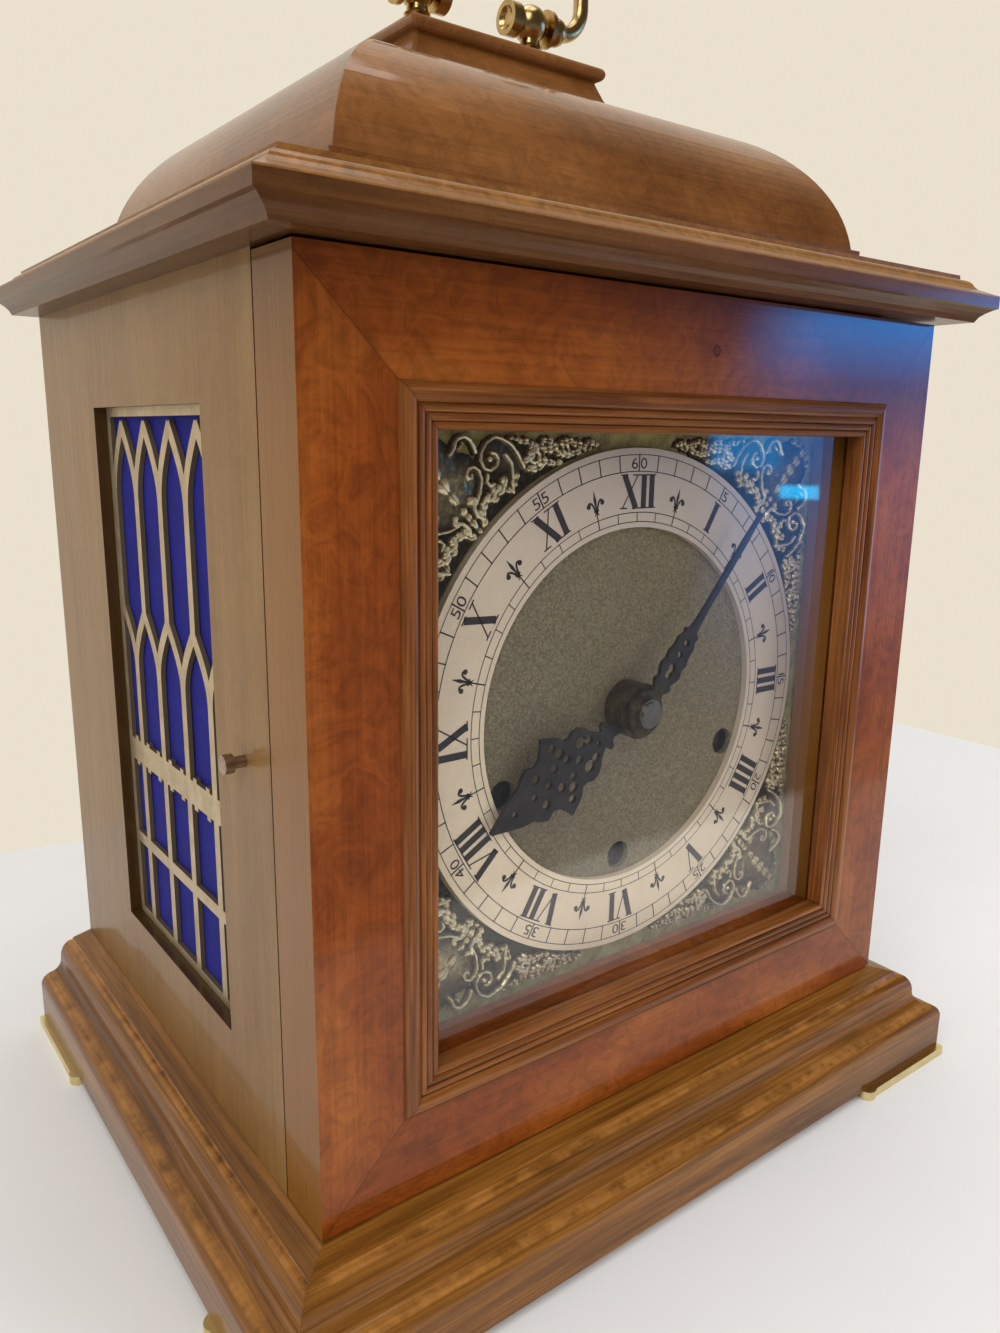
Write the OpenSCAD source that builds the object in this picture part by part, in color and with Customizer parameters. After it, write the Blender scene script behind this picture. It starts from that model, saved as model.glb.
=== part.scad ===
// Chiming bracket clock: caddy-topped case, hinged glazed front door, pierced brass side frets,
// brass dial with silvered ring, and a movement with three winding barrels, motion work,
// lever escapement, chime drum, hammers and rods. Front faces -Y, +X is the viewer's right, +Z is up.

/* [Case] */
// Width of the case body
case_w = 240; // [225:1:260]
// Depth of the case body behind the door
case_d = 189; // [185:1:215]
// Height of the door opening, from base to cornice
case_h = 242; // [234:1:262]
// Thickness of the side panels
side_t = 10; // [9:0.5:11]
// Thickness of the base board
base_board_t = 18; // [14:0.5:22]
// Thickness of the top board
top_board_t = 10; // [8:0.5:12]
// Gap between the door and the pieces around it
door_gap = 0.6; // [0.4:0.1:1.2]

/* [Base moulding and feet] */
// How far the base moulding stands out from the case
base_out = 20.8; // [16:0.2:24]
// Height of the moulded slope above the plinth face
base_mould_h = 19; // [16:0.5:23]
// Height of the plain plinth face
plinth_h = 13.5; // [10:0.5:18]
// Height of the brass feet below the plinth
foot_h = 3.5; // [3:0.5:6]
// Length of each arm of a brass foot
foot_len = 48; // [30:1:60]
// Width of a foot's arm
foot_w = 12; // [8:0.5:16]
// How far the feet stand proud of the plinth
foot_proud = 1.8; // [0:0.2:3]
// Radius of the bead that ends each foot's arm
foot_bead_r = 3.4; // [2.6:0.2:4]

/* [Cornice and caddy] */
// How far the cornice stands out from the case
cornice_out = 14.4; // [11:0.2:18]
// Height of the cornice
cornice_h = 15.2; // [12:0.4:20]
// Inset of the caddy's base plate from the case front
caddy_plate_in = 18; // [12:0.5:20]
// Thickness of the caddy's base plate
caddy_plate_t = 8; // [5:0.5:11]
// Inset of the caddy's foot from the case front
caddy_in = 21; // [19:0.5:26]
// Sideways reach of the caddy's rounded flanks
caddy_reach = 45; // [40:1:48]
// Height of the caddy
caddy_h = 39; // [32:1:44]
// Width of the pedestal's top moulding
pedestal_w = 78; // [70:1:88]
// Depth of the pedestal's top moulding
pedestal_d = 44; // [36:1:56]
// Height of the pedestal
pedestal_h = 21; // [16:0.5:28]
// Reach of the pedestal's foot board beyond its top moulding
board_out = 12.5; // [9:0.5:14]
// Thickness of the pedestal's foot board
board_h = 3.2; // [2.4:0.2:4]

/* [Carrying handle] */
// Height of the handle's pivots above the pedestal
pivot_h = 15.5; // [13:0.5:22]
// Distance from the middle to each handle post
post_x = 23; // [19:0.5:27]
// Radius of the ball on each post
post_ball_r = 6; // [5:0.25:7]
// Radius of the handle's pivots
handle_pin_r = 2; // [1.5:0.1:2.4]
// Half width of the handle's bow
bail_half_w = 46; // [42:1:52]
// Height of the bow above its pivots
bail_h = 44; // [36:1:54]
// Thickness of the handle's bar
bail_r = 2.7; // [2.2:0.1:3.4]

/* [Front door] */
// Thickness of the front door
door_t = 20; // [18:0.5:21]
// Width of the glazing bead's outer edge, and its height
bead_outer = 190; // [184:1:200]
// Width of the glazing bead
bead_w = 11; // [8:0.5:13]
// How far the glazing bead stands out from the door
bead_proud = 1.6; // [0.8:0.2:3]
// Thickness of the glass
glass_t = 2; // [1.6:0.1:2.2]
// Distance from the glass to the dial plate
glass_clear = 13.3; // [13.2:0.1:14]
// Largest height of the hinges
hinge_h = 44; // [34:1:60]
// Distance of each hinge's middle from the door's ends
hinge_in = 42; // [36:1:60]
// Length of a hinge leaf
leaf_w = 9; // [7:0.5:9.5]
// Thickness of a hinge leaf
leaf_t = 1.2; // [1:0.1:1.4]
// Radius of a hinge's knuckle
knuckle_r = 2.2; // [1.9:0.1:2.6]
// Radius of a hinge's pin
hinge_pin_r = 0.9; // [0.7:0.05:1.1]

/* [Door release] */
// Radius of the release button
button_r = 2.6; // [2.2:0.1:3.2]
// How far the release button stands out
button_out = 6; // [5:0.5:9]
// Travel of the release button
button_travel = 3; // [2:0.25:3.5]
// Distance of the button behind the door's front face
button_y = 36.7; // [36.5:0.1:38]

/* [Side frets] */
// Width of the fret opening
fret_w = 93; // [88:1:106]
// Height of the fret opening
fret_h = 178; // [168:1:186]
// Depth of the fret behind the side's face
fret_recess = 4; // [3:0.25:4.5]
// Thickness of the fret
fret_t = 1.5; // [1:0.1:2]
// Width of the fret's bars
fret_bar = 3.8; // [3:0.2:5]
// Number of lancets across the fret
fret_bays = 4; // [3:1:5]

/* [Dial] */
// Width and height of the dial plate
dial_w = 180; // [176:1:186]
// Thickness of the dial plate
dial_t = 2; // [1.5:0.1:2]
// Outer diameter of the chapter ring
ring_od = 160; // [150:1:164]
// Inner diameter of the chapter ring
ring_id = 113; // [112.5:0.5:118]
// Thickness of the chapter ring
ring_t = 2.2; // [1.4:0.1:2.4]
// Thickness of the cast spandrels
spandrel_t = 2.6; // [1.6:0.2:3]
// Height of the hands' centre above the door's foot
hand_z = 120.5; // [118:0.5:124]
// Sideways distance of the outer winding squares
winding_x = 48; // [47.9:0.1:48.2]
// Drop of the outer winding squares below the hands' centre
winding_drop = 20; // [19.8:0.1:20.4]
// Radius of the winding holes in the dial
winding_hole_r = 4.6; // [4:0.1:4.8]
// Distance from the dial plate's back to the movement
dial_gap = 16; // [16:0.25:17]

/* [Hands] */
// Length of the minute hand from its centre
minute_len = 77; // [66:1:79]
// Length of the hour hand from its centre
hour_len = 63; // [52:1:65]
// Minutes shown, which set where both hands stand
minute_shown = 6.6; // [0:0.1:10]
// Hour shown
hour_shown = 8; // [7:1:9]
// Radius of the hour hand's large boss
hour_boss_r = 8.8; // [7:0.2:9.6]

/* [Movement] */
// Width of the movement's plates
plate_w = 144; // [142:1:148]
// Height of the plates above the hands' centre
plate_up = 56; // [55:0.5:60]
// Drop of the plates below the hands' centre
plate_down = 73; // [72:0.5:76]
// Thickness of the plates
plate_t = 2.8; // [2.2:0.1:3.4]
// Space between the plates
plate_gap = 44; // [43.5:0.5:46]
// Radius of the spring barrels on the left and right
barrel_r = 18.5; // [16:0.5:19]
// Radius of the middle spring barrel
time_barrel_r = 23; // [20:0.5:24]
// Length of the spring barrels
barrel_len = 24; // [20:0.5:24]
// Radius of the winding arbors
winding_arbor_r = 3.2; // [2.8:0.1:3.4]
// Width of the winding squares
winding_square = 4.4; // [3.6:0.1:4.4]
// Radius of the plain arbors
arbor_r = 1.5; // [1.2:0.1:1.6]
// Radial clearance of every turning fit
run_fit = 0.05; // [0.03:0.01:0.08]
// Thickness of the train wheels
wheel_t = 1.6; // [1.2:0.1:2]

/* [Chime] */
// Number of chime hammers and rods
hammer_count = 4; // [4:1:4]
// Spacing of the hammers
hammer_pitch = 8; // [7.5:0.5:8.5]
// Length of the hammers' arms
hammer_len = 58; // [50:1:62]
// Radius of the hammers' heads
hammer_head_r = 3.2; // [2.6:0.2:3.4]
// Radius of the chime rods
rod_r = 1.6; // [1.2:0.1:1.8]
// Length of the longest chime rod
rod_len = 150; // [120:2:160]
// Height of the chime rods above the base board
rod_h = 34; // [32:0.5:35]

/* [Back door] */
// Thickness of the back door
back_door_t = 10; // [8:0.5:11]
// Radius of the back door's knob
knob_r = 6; // [4:0.5:8]
// How far the knob stands out of the back door
knob_out = 7.5; // [6:0.5:11]

/* [Hidden] */
$fn = 48;

walnut = "#6b3a1e";
veneer = "#7d3a1a";
oak = "#9a5a2c";
brass = "#c8a24a";
dark_brass = "#6f5a34";
silver = "#cfc6b8";
steel = "#8d9196";
black = "#1c1a1c";
blue = "#1c2390";
glass = "#bcd0d8";

// Heights above the surface that the clock stands on
base_z = foot_h + plinth_h + base_mould_h;
cornice_z = base_z + case_h + 1.2;
caddy_z = cornice_z + cornice_h;
dome_z = caddy_z + caddy_plate_t;
pedestal_z = dome_z + caddy_h;
pedestal_top = pedestal_z + pedestal_h;
pivot_z = pedestal_top + pivot_h;
centre_z = base_z + hand_z;

// Depths, from the door's front face towards the back
total_d = door_t + case_d;
case_y = door_t + door_gap;
front_most = base_out + foot_proud + 0.8;
y_shift = -(total_d + knob_out - front_most) / 2;
half_w = case_w / 2;
inner_w = half_w - side_t;
plate_y = case_y + 0.3;
glass_y = plate_y - glass_clear - glass_t;
dial_back = plate_y + dial_t;
front_plate_y = dial_back + dial_gap;
in_y = front_plate_y + plate_t;
back_plate_y = in_y + plate_gap;
rear_y = back_plate_y + plate_t;

// Everything is drawn from the door's front face and set into the part's frame here
module placed() { translate([0, y_shift, 0]) children(); }

// A solid along Y between two depths, its outline drawn as seen from the front
module along_y(y0, y1, x = 0, z = 0) {
    translate([x, y1, z]) rotate([90, 0, 0]) linear_extrude(height = y1 - y0) children();
}
// A solid along X between two places, its outline drawn with Y to the right and Z up
module along_x(x0, x1) {
    translate([x0, 0, 0]) rotate([90, 0, 90]) linear_extrude(height = x1 - x0) children();
}
module rod_y(r, y0, y1, x = 0, z = 0) {
    translate([x, y1, z]) rotate([90, 0, 0]) cylinder(r = r, h = y1 - y0);
}
module rod_x(r, x0, x1, y = 0, z = 0) {
    translate([x0, y, z]) rotate([0, 90, 0]) cylinder(r = r, h = x1 - x0);
}
module box(x0, x1, y0, y1, z0, z1) { translate([x0, y0, z0]) cube([x1 - x0, y1 - y0, z1 - z0]); }

// Points of a round stretch from one angle to another
function arc(cx, cy, rx, ry, a0, a1, n = 8) =
    [for (i = [0:n]) let(a = a0 + (a1 - a0) * i / n) [cx + rx * cos(a), cy + ry * sin(a)]];

// Half the width of the joint where mitred lengths meet, measured along the length
joint = 0.03;
// A moulding that runs along the front and both sides, mitred at the front corners, as three
// lengths. The profile has how far it stands out as its first value and its height as its second.
module mitred_run(profile, inset, reach) {
    plan_front = [[-half_w + inset + joint, inset], [half_w - inset - joint, inset],
        [half_w + reach - joint, -reach], [-half_w - reach + joint, -reach]];
    plan_side = [[half_w - inset, inset + joint], [half_w + reach, joint - reach], [half_w + reach, total_d],
        [half_w - inset, total_d]];
    span = half_w + reach + 1;
    intersection() {
        along_x(-span, span) polygon([for (p = profile) [-p[0], p[1]]]);
        linear_extrude(height = 900) polygon(plan_front);
    }
    for (s = [0, 1]) mirror([s, 0, 0]) intersection() {
        along_y(-span, total_d, half_w) polygon(profile);
        linear_extrude(height = 900) polygon(plan_side);
    }
}

// Base: board, moulded plinth and brass feet
mould_in = 12;
module base_board() {
    color(walnut) placed() box(-half_w + mould_in, half_w - mould_in, mould_in, total_d,
        base_z - base_board_t, base_z);
}
// Rounded nose above the plinth face, a hollow, a tall ovolo and a shallow slope to the door
nose_z = foot_h + plinth_h + 0.2;
base_profile = concat([[-mould_in, foot_h], [base_out, foot_h]],
    arc(base_out - 4.4, nose_z, 4.4, 4.6, 0, 80, 10),
    arc(base_out - 3.6, nose_z + 9.4, 4.6, 4.8, 262, 184, 10),
    arc(base_out - 12.6, nose_z + 9.4, 4.4, base_mould_h - 12, 0, 85, 10),
    [[base_out - 13.2, base_z - 2.4], [base_out - 13.6, base_z - 1.6], [0.2, base_z],
     [-mould_in, base_z]]);
module base_moulding() {
    color(walnut) placed() mitred_run(base_profile, mould_in, base_out);
}
module foot_shape() {
    reach = half_w + base_out + foot_proud;
    front = -base_out - foot_proud;
    translate([reach - foot_len, front, 0]) cube([foot_len, foot_w, foot_h]);
    translate([reach - foot_w, front, 0]) cube([foot_w, foot_len, foot_h]);
    translate([reach - foot_len, front + foot_bead_r - 0.8, 0]) cylinder(r = foot_bead_r, h = foot_h);
    translate([reach - foot_bead_r + 0.8, front + foot_len, 0]) cylinder(r = foot_bead_r, h = foot_h);
}
module bracket_feet() {
    color(brass) placed() for (s = [0, 1]) mirror([s, 0, 0]) {
        foot_shape();
        translate([0, total_d, 0]) mirror([0, 1, 0]) translate([0, base_out + foot_proud, 0]) foot_shape();
    }
}

// Case: sides with fret openings, top, cornice, caddy and pedestal
fret_mid = total_d / 2 - 2.5;
fret_z = base_z + case_h / 2 + 0.5;
hinge_z = [base_z + hinge_in, base_z + case_h - hinge_in];
hinge_x = half_w + 1;
hinge_y = door_t + door_gap / 2;
back_leaf_x = -(inner_w - 0.2);
back_hinge_y = total_d + knuckle_r - 1;
cloth_t = 1;
module case_side(left) {
    difference() {
        box(inner_w, half_w, case_y, total_d, base_z, cornice_z);
        box(inner_w - 1, half_w + 1, fret_mid - fret_w / 2, fret_mid + fret_w / 2,
            fret_z - fret_h / 2, fret_z + fret_h / 2);
        if (left) {
            rod_x(button_stem_r + run_fit, inner_w - 1, half_w + 1, button_y, centre_z);
            for (z = hinge_z) box(inner_w - 1, inner_w + leaf_t + 0.15, back_hinge_y - leaf_w,
                total_d + 1, z - hinge_h / 2, z + hinge_h / 2);
            for (z = hinge_z) box(inner_w - 1, inner_w + 3, total_d - 3, total_d + 1,
                z - hinge_h / 2, z + hinge_h / 2);
        }
        if (!left) {
            for (z = hinge_z) box(hinge_x - leaf_w, half_w + 1, case_y - 1, case_y + leaf_t,
                z - hinge_h / 2, z + hinge_h / 2);
            for (z = hinge_z) box(hinge_x - knuckle_r - 0.6, half_w + 1, case_y - 1,
                hinge_y + knuckle_r + 0.6, z - hinge_h / 2, z + hinge_h / 2);
        }
    }
}
module case_side_left() { color(veneer) placed() mirror([1, 0, 0]) case_side(true); }
module case_side_right() { color(veneer) placed() case_side(false); }
module case_top() {
    color(walnut) placed() box(-inner_w, inner_w, case_y, back_y - door_gap,
        cornice_z - top_board_t, cornice_z);
}
// Hollow under the cornice's lip: how far in from the lip, and height
cornice_cove = [[5.3, 0], [4.9, 0.7], [4.3, 1.7], [3, 2.8], [1.2, 3.9], [0, 4.4]];
cornice_profile = concat([[-mould_in, cornice_z]],
    [for (c = cornice_cove) [cornice_out - c[0], cornice_z + c[1]]],
    [[cornice_out, cornice_z + 8.4],
     [cornice_out - 5.2, cornice_z + cornice_h - 4.6]],
    arc(cornice_out - 9.4, cornice_z + cornice_h - 4.6, 3.4, 3.2, 20, 80, 4),
    [[cornice_out - 9.6, cornice_z + cornice_h - 1.3], [cornice_out - 9.6, cornice_z + cornice_h],
     [-mould_in, cornice_z + cornice_h]]);
module cornice_moulding() {
    color(walnut) placed() {
        mitred_run(cornice_profile, mould_in, cornice_out);
        box(-half_w + mould_in + joint, half_w - mould_in - joint, mould_in + joint, total_d, cornice_z, caddy_z);
    }
}
// Caddy's base plate, with a small step round its top
plate_step = 1;
module caddy_plate() {
    color(walnut) placed() for (k = [[0, caddy_z, dome_z - 2], [plate_step, dome_z - 2, dome_z]])
        box(-half_w + caddy_plate_in + k[0], half_w - caddy_plate_in - k[0], caddy_plate_in + k[0],
            total_d - caddy_plate_in - k[0], k[1], k[2]);
}
// One flank of the caddy: inset from the case edge, and height. It is part of a circle that is
// level at the top.
dome_r = (caddy_reach * caddy_reach + caddy_h * caddy_h) / (2 * caddy_h);
dome_flank = arc(caddy_in + caddy_reach, pedestal_z - dome_r, dome_r, dome_r,
    180 - asin((dome_r - caddy_h) / dome_r), 90, 24);
module caddy_dome() {
    xs = [for (p = dome_flank) [-half_w + p[0], p[1]]];
    ys = [for (p = dome_flank) [p[0], p[1]]];
    last = len(dome_flank) - 1;
    color(walnut) placed() intersection() {
        along_y(0, total_d) polygon(concat(xs, [for (i = [0:last]) [-xs[last - i][0], xs[last - i][1]]]));
        along_x(-half_w, half_w) polygon(concat(ys,
            [for (i = [0:last]) [total_d - ys[last - i][0], ys[last - i][1]]]));
    }
}
// Pedestal outline: how far in from the top moulding's edge, and height
neck_z = pedestal_z + board_h;
neck_h = pedestal_h - board_h - 5;
// Neck: inset, and share of the neck's height
neck_curve = [[-6.5, 0], [-5.2, 0.05], [-4, 0.12], [-2.2, 0.27], [-0.7, 0.44], [0.4, 0.59], [1.4, 0.77],
    [2.2, 0.92], [2.6, 1]];
pedestal_flank = concat([[-board_out, pedestal_z], [-board_out, neck_z - 0.8], [-board_out + 0.8, neck_z]],
    [for (c = neck_curve) [c[0], neck_z + c[1] * neck_h]],
    arc(2.2, pedestal_top - 2.3, 2.2, 2.3, 270, 90, 10));
module pedestal_prism(half) {
    last = len(pedestal_flank) - 1;
    polygon(concat([for (p = pedestal_flank) [-half + p[0], p[1]]],
        [for (i = [0:last]) let(p = pedestal_flank[last - i]) [half - p[0], p[1]]]));
}
module top_pedestal() {
    mid = total_d / 2;
    color(walnut) placed() difference() {
        intersection() {
            along_y(0, total_d) pedestal_prism(pedestal_w / 2);
            translate([0, mid, 0]) along_x(-half_w, half_w) pedestal_prism(pedestal_d / 2);
        }
        for (s = [-1, 1]) translate([s * post_x, mid, pedestal_top - post_stem]) cylinder(r = post_stem_r + 0.02, h = 20);
    }
}

// Carrying handle: two posts with balls, and the bow that swings in them
post_stem = 9;
post_stem_r = 2.4;
module handle_posts() {
    mid = total_d / 2;
    color(brass) placed() for (s = [0, 1]) mirror([s, 0, 0]) translate([post_x, mid, 0]) difference() {
        union() {
            translate([0, 0, pedestal_top - post_stem]) cylinder(r = post_stem_r, h = post_stem + 1);
            translate([0, 0, pedestal_top]) rotate_extrude() polygon(concat(
                [[0, 0], [7.4, 0], [7.4, 1.2], [6.4, 2]], arc(6.4, 5.4, 3.2, 3.4, 270, 180, 5),
                [[3.2, 7], [4.4, 8], [3.6, 9], [3.2, pivot_h - 4], [0, pivot_h - 4]]));
            translate([0, 0, pivot_z]) sphere(r = post_ball_r);
        }
        translate([0, 0, pivot_z]) rotate([0, 90, 0]) cylinder(r = handle_pin_r + run_fit, h = 40, center = true);
    }
}
// A bend of the bow's bar, about a centre given across and up, from one angle to another
module bow_bend(across, up, r, from, to) {
    translate([across, 0, up]) rotate([90, 0, 0]) rotate([0, 0, from])
        rotate_extrude(angle = to - from) translate([r, 0]) circle(r = bail_r);
}
foot_bend = 10;
top_bend = 26;
module handle_bail() {
    gap = post_ball_r + 0.3;
    color(brass) placed() translate([0, total_d / 2, pivot_z]) {
        for (s = [0, 1]) mirror([s, 0, 0]) {
            rod_x(handle_pin_r, post_x - gap - 3, post_x + gap + 1);
            translate([post_x - gap - 4.2, 0, 0]) rotate([0, 90, 0]) difference() {
                cylinder(r = 5.4, h = 4.2);
                translate([0, 0, -2.4]) sphere(r = 4.4);
            }
            rod_x(6, post_x + gap, post_x + gap + 1.8);
            translate([post_x + gap + 4.6, 0, 0]) sphere(r = 4.6);
            rod_x(bail_r, post_x + gap + 4, bail_half_w - foot_bend + 1);
            bow_bend(bail_half_w - foot_bend, foot_bend, foot_bend, -90, 0);
            translate([bail_half_w, 0, foot_bend]) cylinder(r = bail_r, h = bail_h - top_bend - foot_bend);
            bow_bend(bail_half_w - top_bend, bail_h - top_bend, top_bend, 0, 90);
        }
        rod_x(bail_r, top_bend - bail_half_w, bail_half_w - top_bend, 0, bail_h);
        rotate([0, 90, 0]) translate([-bail_h, 0, -6]) rotate_extrude() polygon(concat([[0, 0], [2, 0]],
            arc(2, 6, 2.4, 6, -90, 90, 10), [[0, 12]]));
    }
}

// Inside the case: frame round the dial, board that carries the movement
surround_t = 12;
surround_open = 150;
module frame_strips(outer_x, z0, z1, inner, mid_z, y0, y1) {
    box(-outer_x, -inner, y0, y1, z0, z1);
    box(inner, outer_x, y0, y1, z0, z1);
    box(-inner, inner, y0, y1, mid_z + inner, z1);
    box(-inner, inner, y0, y1, z0, mid_z - inner);
}
module dial_surround() {
    top = cornice_z - top_board_t;
    color(walnut) placed() difference() {
        frame_strips(inner_w, base_z, top, surround_open / 2, centre_z, case_y, case_y + surround_t);
        along_y(case_y - 1, dial_back) translate([0, centre_z]) square(dial_w + 1, center = true);
        rod_y(catch_r + 1.3, 0, 60, -catch_x, catch_z);
    }
}
seat_t = 12;
seat_z = centre_z - plate_down;
cheek_w = 12;
module seat_board() {
    color(walnut) placed() {
        difference() {
            box(-inner_w, inner_w, front_plate_y - 3, rear_y + 1, seat_z - seat_t, seat_z);
            rod_y(tip_r(great_teeth, great_mod) + 1, barrel_y - 1, great_y + great_t + 2,
                time_at[0], centre_z + time_at[1]);
        }
        for (s = [0, 1]) mirror([s, 0, 0])
            box(inner_w - cheek_w, inner_w, front_plate_y + 1, rear_y - 3, base_z, seat_z - seat_t);
    }
}

// Front door: mitred frame, bead, glass, hinge leaves and catch pin
door_z0 = base_z + door_gap;
door_z1 = base_z + case_h + 0.4;
sight = bead_outer / 2 - bead_w;
module mitred_frame(outer_x, low, high, inner, mid_z, y0, y1) {
    for (a = [0, 1]) mirror([a, 0, 0]) along_y(y0, y1)
        polygon([[outer_x, low + joint], [outer_x, high - joint], [inner, mid_z + inner - joint],
            [inner, mid_z - inner + joint]]);
    along_y(y0, y1) polygon([[joint - outer_x, high], [outer_x - joint, high], [inner - joint, mid_z + inner],
        [joint - inner, mid_z + inner]]);
    along_y(y0, y1) polygon([[joint - outer_x, low], [outer_x - joint, low], [inner - joint, mid_z - inner],
        [joint - inner, mid_z - inner]]);
}
module door_frame() {
    color(veneer) placed() difference() {
        mitred_frame(half_w, door_z0, door_z1, sight + 1.5, centre_z, 0, door_t);
        along_y(-1, glass_y) translate([0, centre_z]) square(bead_outer, center = true);
        along_y(-1, glass_y + glass_t) translate([0, centre_z]) square(2 * (sight + 5), center = true);
        for (z = hinge_z) box(hinge_x - leaf_w - 0.1, half_w + 1, door_t - leaf_t, door_t + 1,
            z - hinge_h / 2, z + hinge_h / 2);
        for (z = hinge_z) box(hinge_x - knuckle_r - 0.6, half_w + 1, hinge_y - knuckle_r - 0.6,
            door_t + 1, z - hinge_h / 2, z + hinge_h / 2);
        rod_y(catch_neck_r, door_t - catch_seat, 60, -catch_x, catch_z);
    }
}
// Bead: a round outer roll, a quirk, three small reeds, then a plain wall down to the glass
function roll(from, to, face, rise) =
    arc((from + to) / 2 * bead_w, face, (to - from) / 2 * bead_w, -rise, 180, 0, 8);
bead_profile = concat([[0, glass_y]], roll(0, 0.44, 0, bead_proud), roll(0.47, 0.63, -0.2, 0.7),
    roll(0.64, 0.81, 0.1, 0.7), roll(0.82, 1, 0.5, 0.7), [[bead_w, glass_y]]);
module bead_length(turn) {
    out = bead_outer / 2;
    translate([0, 0, centre_z]) rotate([0, turn, 0]) intersection() {
        along_x(-out, out) polygon([for (p = bead_profile) [p[1], -out + p[0]]]);
        along_y(-door_t, door_t) polygon([[joint - out, -out], [out - joint, -out], [0, -joint]]);
    }
}
module glazing_bead() { color(oak) placed() for (turn = [0, 90, 180, 270]) bead_length(turn); }
module door_glass() {
    color(glass) placed() along_y(glass_y, glass_y + glass_t) translate([0, centre_z])
        square(2 * (sight + 4.6), center = true);
}
// Hinge leaf with its axis on the Z axis, reaching towards -X. The carrying leaf holds the pin.
module hinge_leaf(carries) {
    third = hinge_h / 3;
    side = carries ? 1 : -1;
    difference() {
        union() {
            translate([-leaf_w, side > 0 ? door_gap / 2 : -door_gap / 2 - leaf_t, -hinge_h / 2 + 0.3])
                cube([leaf_w, leaf_t, hinge_h - 0.6]);
            if (carries) for (z = [-hinge_h / 2 + 0.3, third / 2 + 0.15])
                translate([0, 0, z]) cylinder(r = knuckle_r, h = third - 0.45);
            if (!carries) translate([0, 0, -third / 2 + 0.15]) cylinder(r = knuckle_r, h = third - 0.3);
        }
        if (carries) translate([-knuckle_r - 0.4, -5, -third / 2 - 0.15]) cube([10, 10, third + 0.3]);
        if (!carries) {
            translate([0, 0, -hinge_h]) cylinder(r = hinge_pin_r + run_fit, h = 2 * hinge_h);
            for (z = [-hinge_h, third / 2 - 0.15]) translate([-knuckle_r - 0.4, -5, z]) cube([10, 10, hinge_h - third / 2 + 0.15]);
        }
    }
    if (carries) translate([0, 0, -hinge_h / 2 + 0.3]) cylinder(r = hinge_pin_r, h = hinge_h - 0.6);
}
module at_front_hinge() { for (z = hinge_z) translate([hinge_x, hinge_y, z]) children(); }
module at_back_hinge() {
    for (z = hinge_z) translate([back_leaf_x, back_hinge_y, z]) rotate([0, 0, 90]) children();
}
module case_hinge_leaves() {
    color(brass) placed() {
        at_front_hinge() hinge_leaf(true);
        at_back_hinge() hinge_leaf(true);
    }
}
module front_door_hinge_leaves() { color(brass) placed() at_front_hinge() hinge_leaf(false); }

// Door catch: a headed pin on the door, and a button whose latch stands beside it
catch_r = 2.5;
catch_neck_r = 1.7;
catch_seat = 6;
catch_x = inner_w - 5;
catch_z = centre_z - 6.5;
button_stem_r = 1.6;
module door_catch_pin() {
    color(brass) placed() {
        rod_y(catch_neck_r, door_t - catch_seat, button_y + 1, -catch_x, catch_z);
        rod_y(catch_r, door_t, door_t + 1, -catch_x, catch_z);
        rod_y(catch_r, button_y + 1, button_y + 3, -catch_x, catch_z);
    }
}
module door_release_button() {
    latch_x = catch_x - catch_r - 0.8;
    color(dark_brass) placed() mirror([1, 0, 0]) {
        rod_x(button_stem_r, latch_x - 1, half_w + button_out - 1, button_y, centre_z);
        rod_x(button_r, half_w + button_travel + 0.4, half_w + button_out, button_y, centre_z);
        rod_x(button_r, inner_w - 1.8, inner_w - 0.3, button_y, centre_z);
        box(latch_x - 1.5, latch_x, button_y - 2.4, button_y + 2.4, catch_z - 3, centre_z + 2.4);
    }
}

// Side frets: a row of pointed arches on bars, a second row half a bay aside, a battlemented
// band, bars and a crossbar, backed with cloth. Drops are measured from the fret's top.
fret_edge = 3.3;
fret_rail = 2.8;
pitch = (fret_w - 2 * fret_edge) / fret_bays;
upper_apex = 5;
upper_foot = 28;
lower_apex = 64.2;
lower_foot = 84;
band_drop = [111, 118.8];
cross_drop = [146, 150];
crenel = 1.3;
crenel_w = 2.8;
// Direction across a path of points at one of them
function across(p, i) = let(d = p[min(i + 1, len(p) - 1)] - p[max(i - 1, 0)]) [-d[1], d[0]] / norm(d);
module stroke(p) {
    last = len(p) - 1;
    polygon(concat([for (i = [0:last]) p[i] + fret_bar / 2 * across(p, i)],
        [for (i = [0:last]) p[last - i] - fret_bar / 2 * across(p, last - i)]));
}
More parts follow.
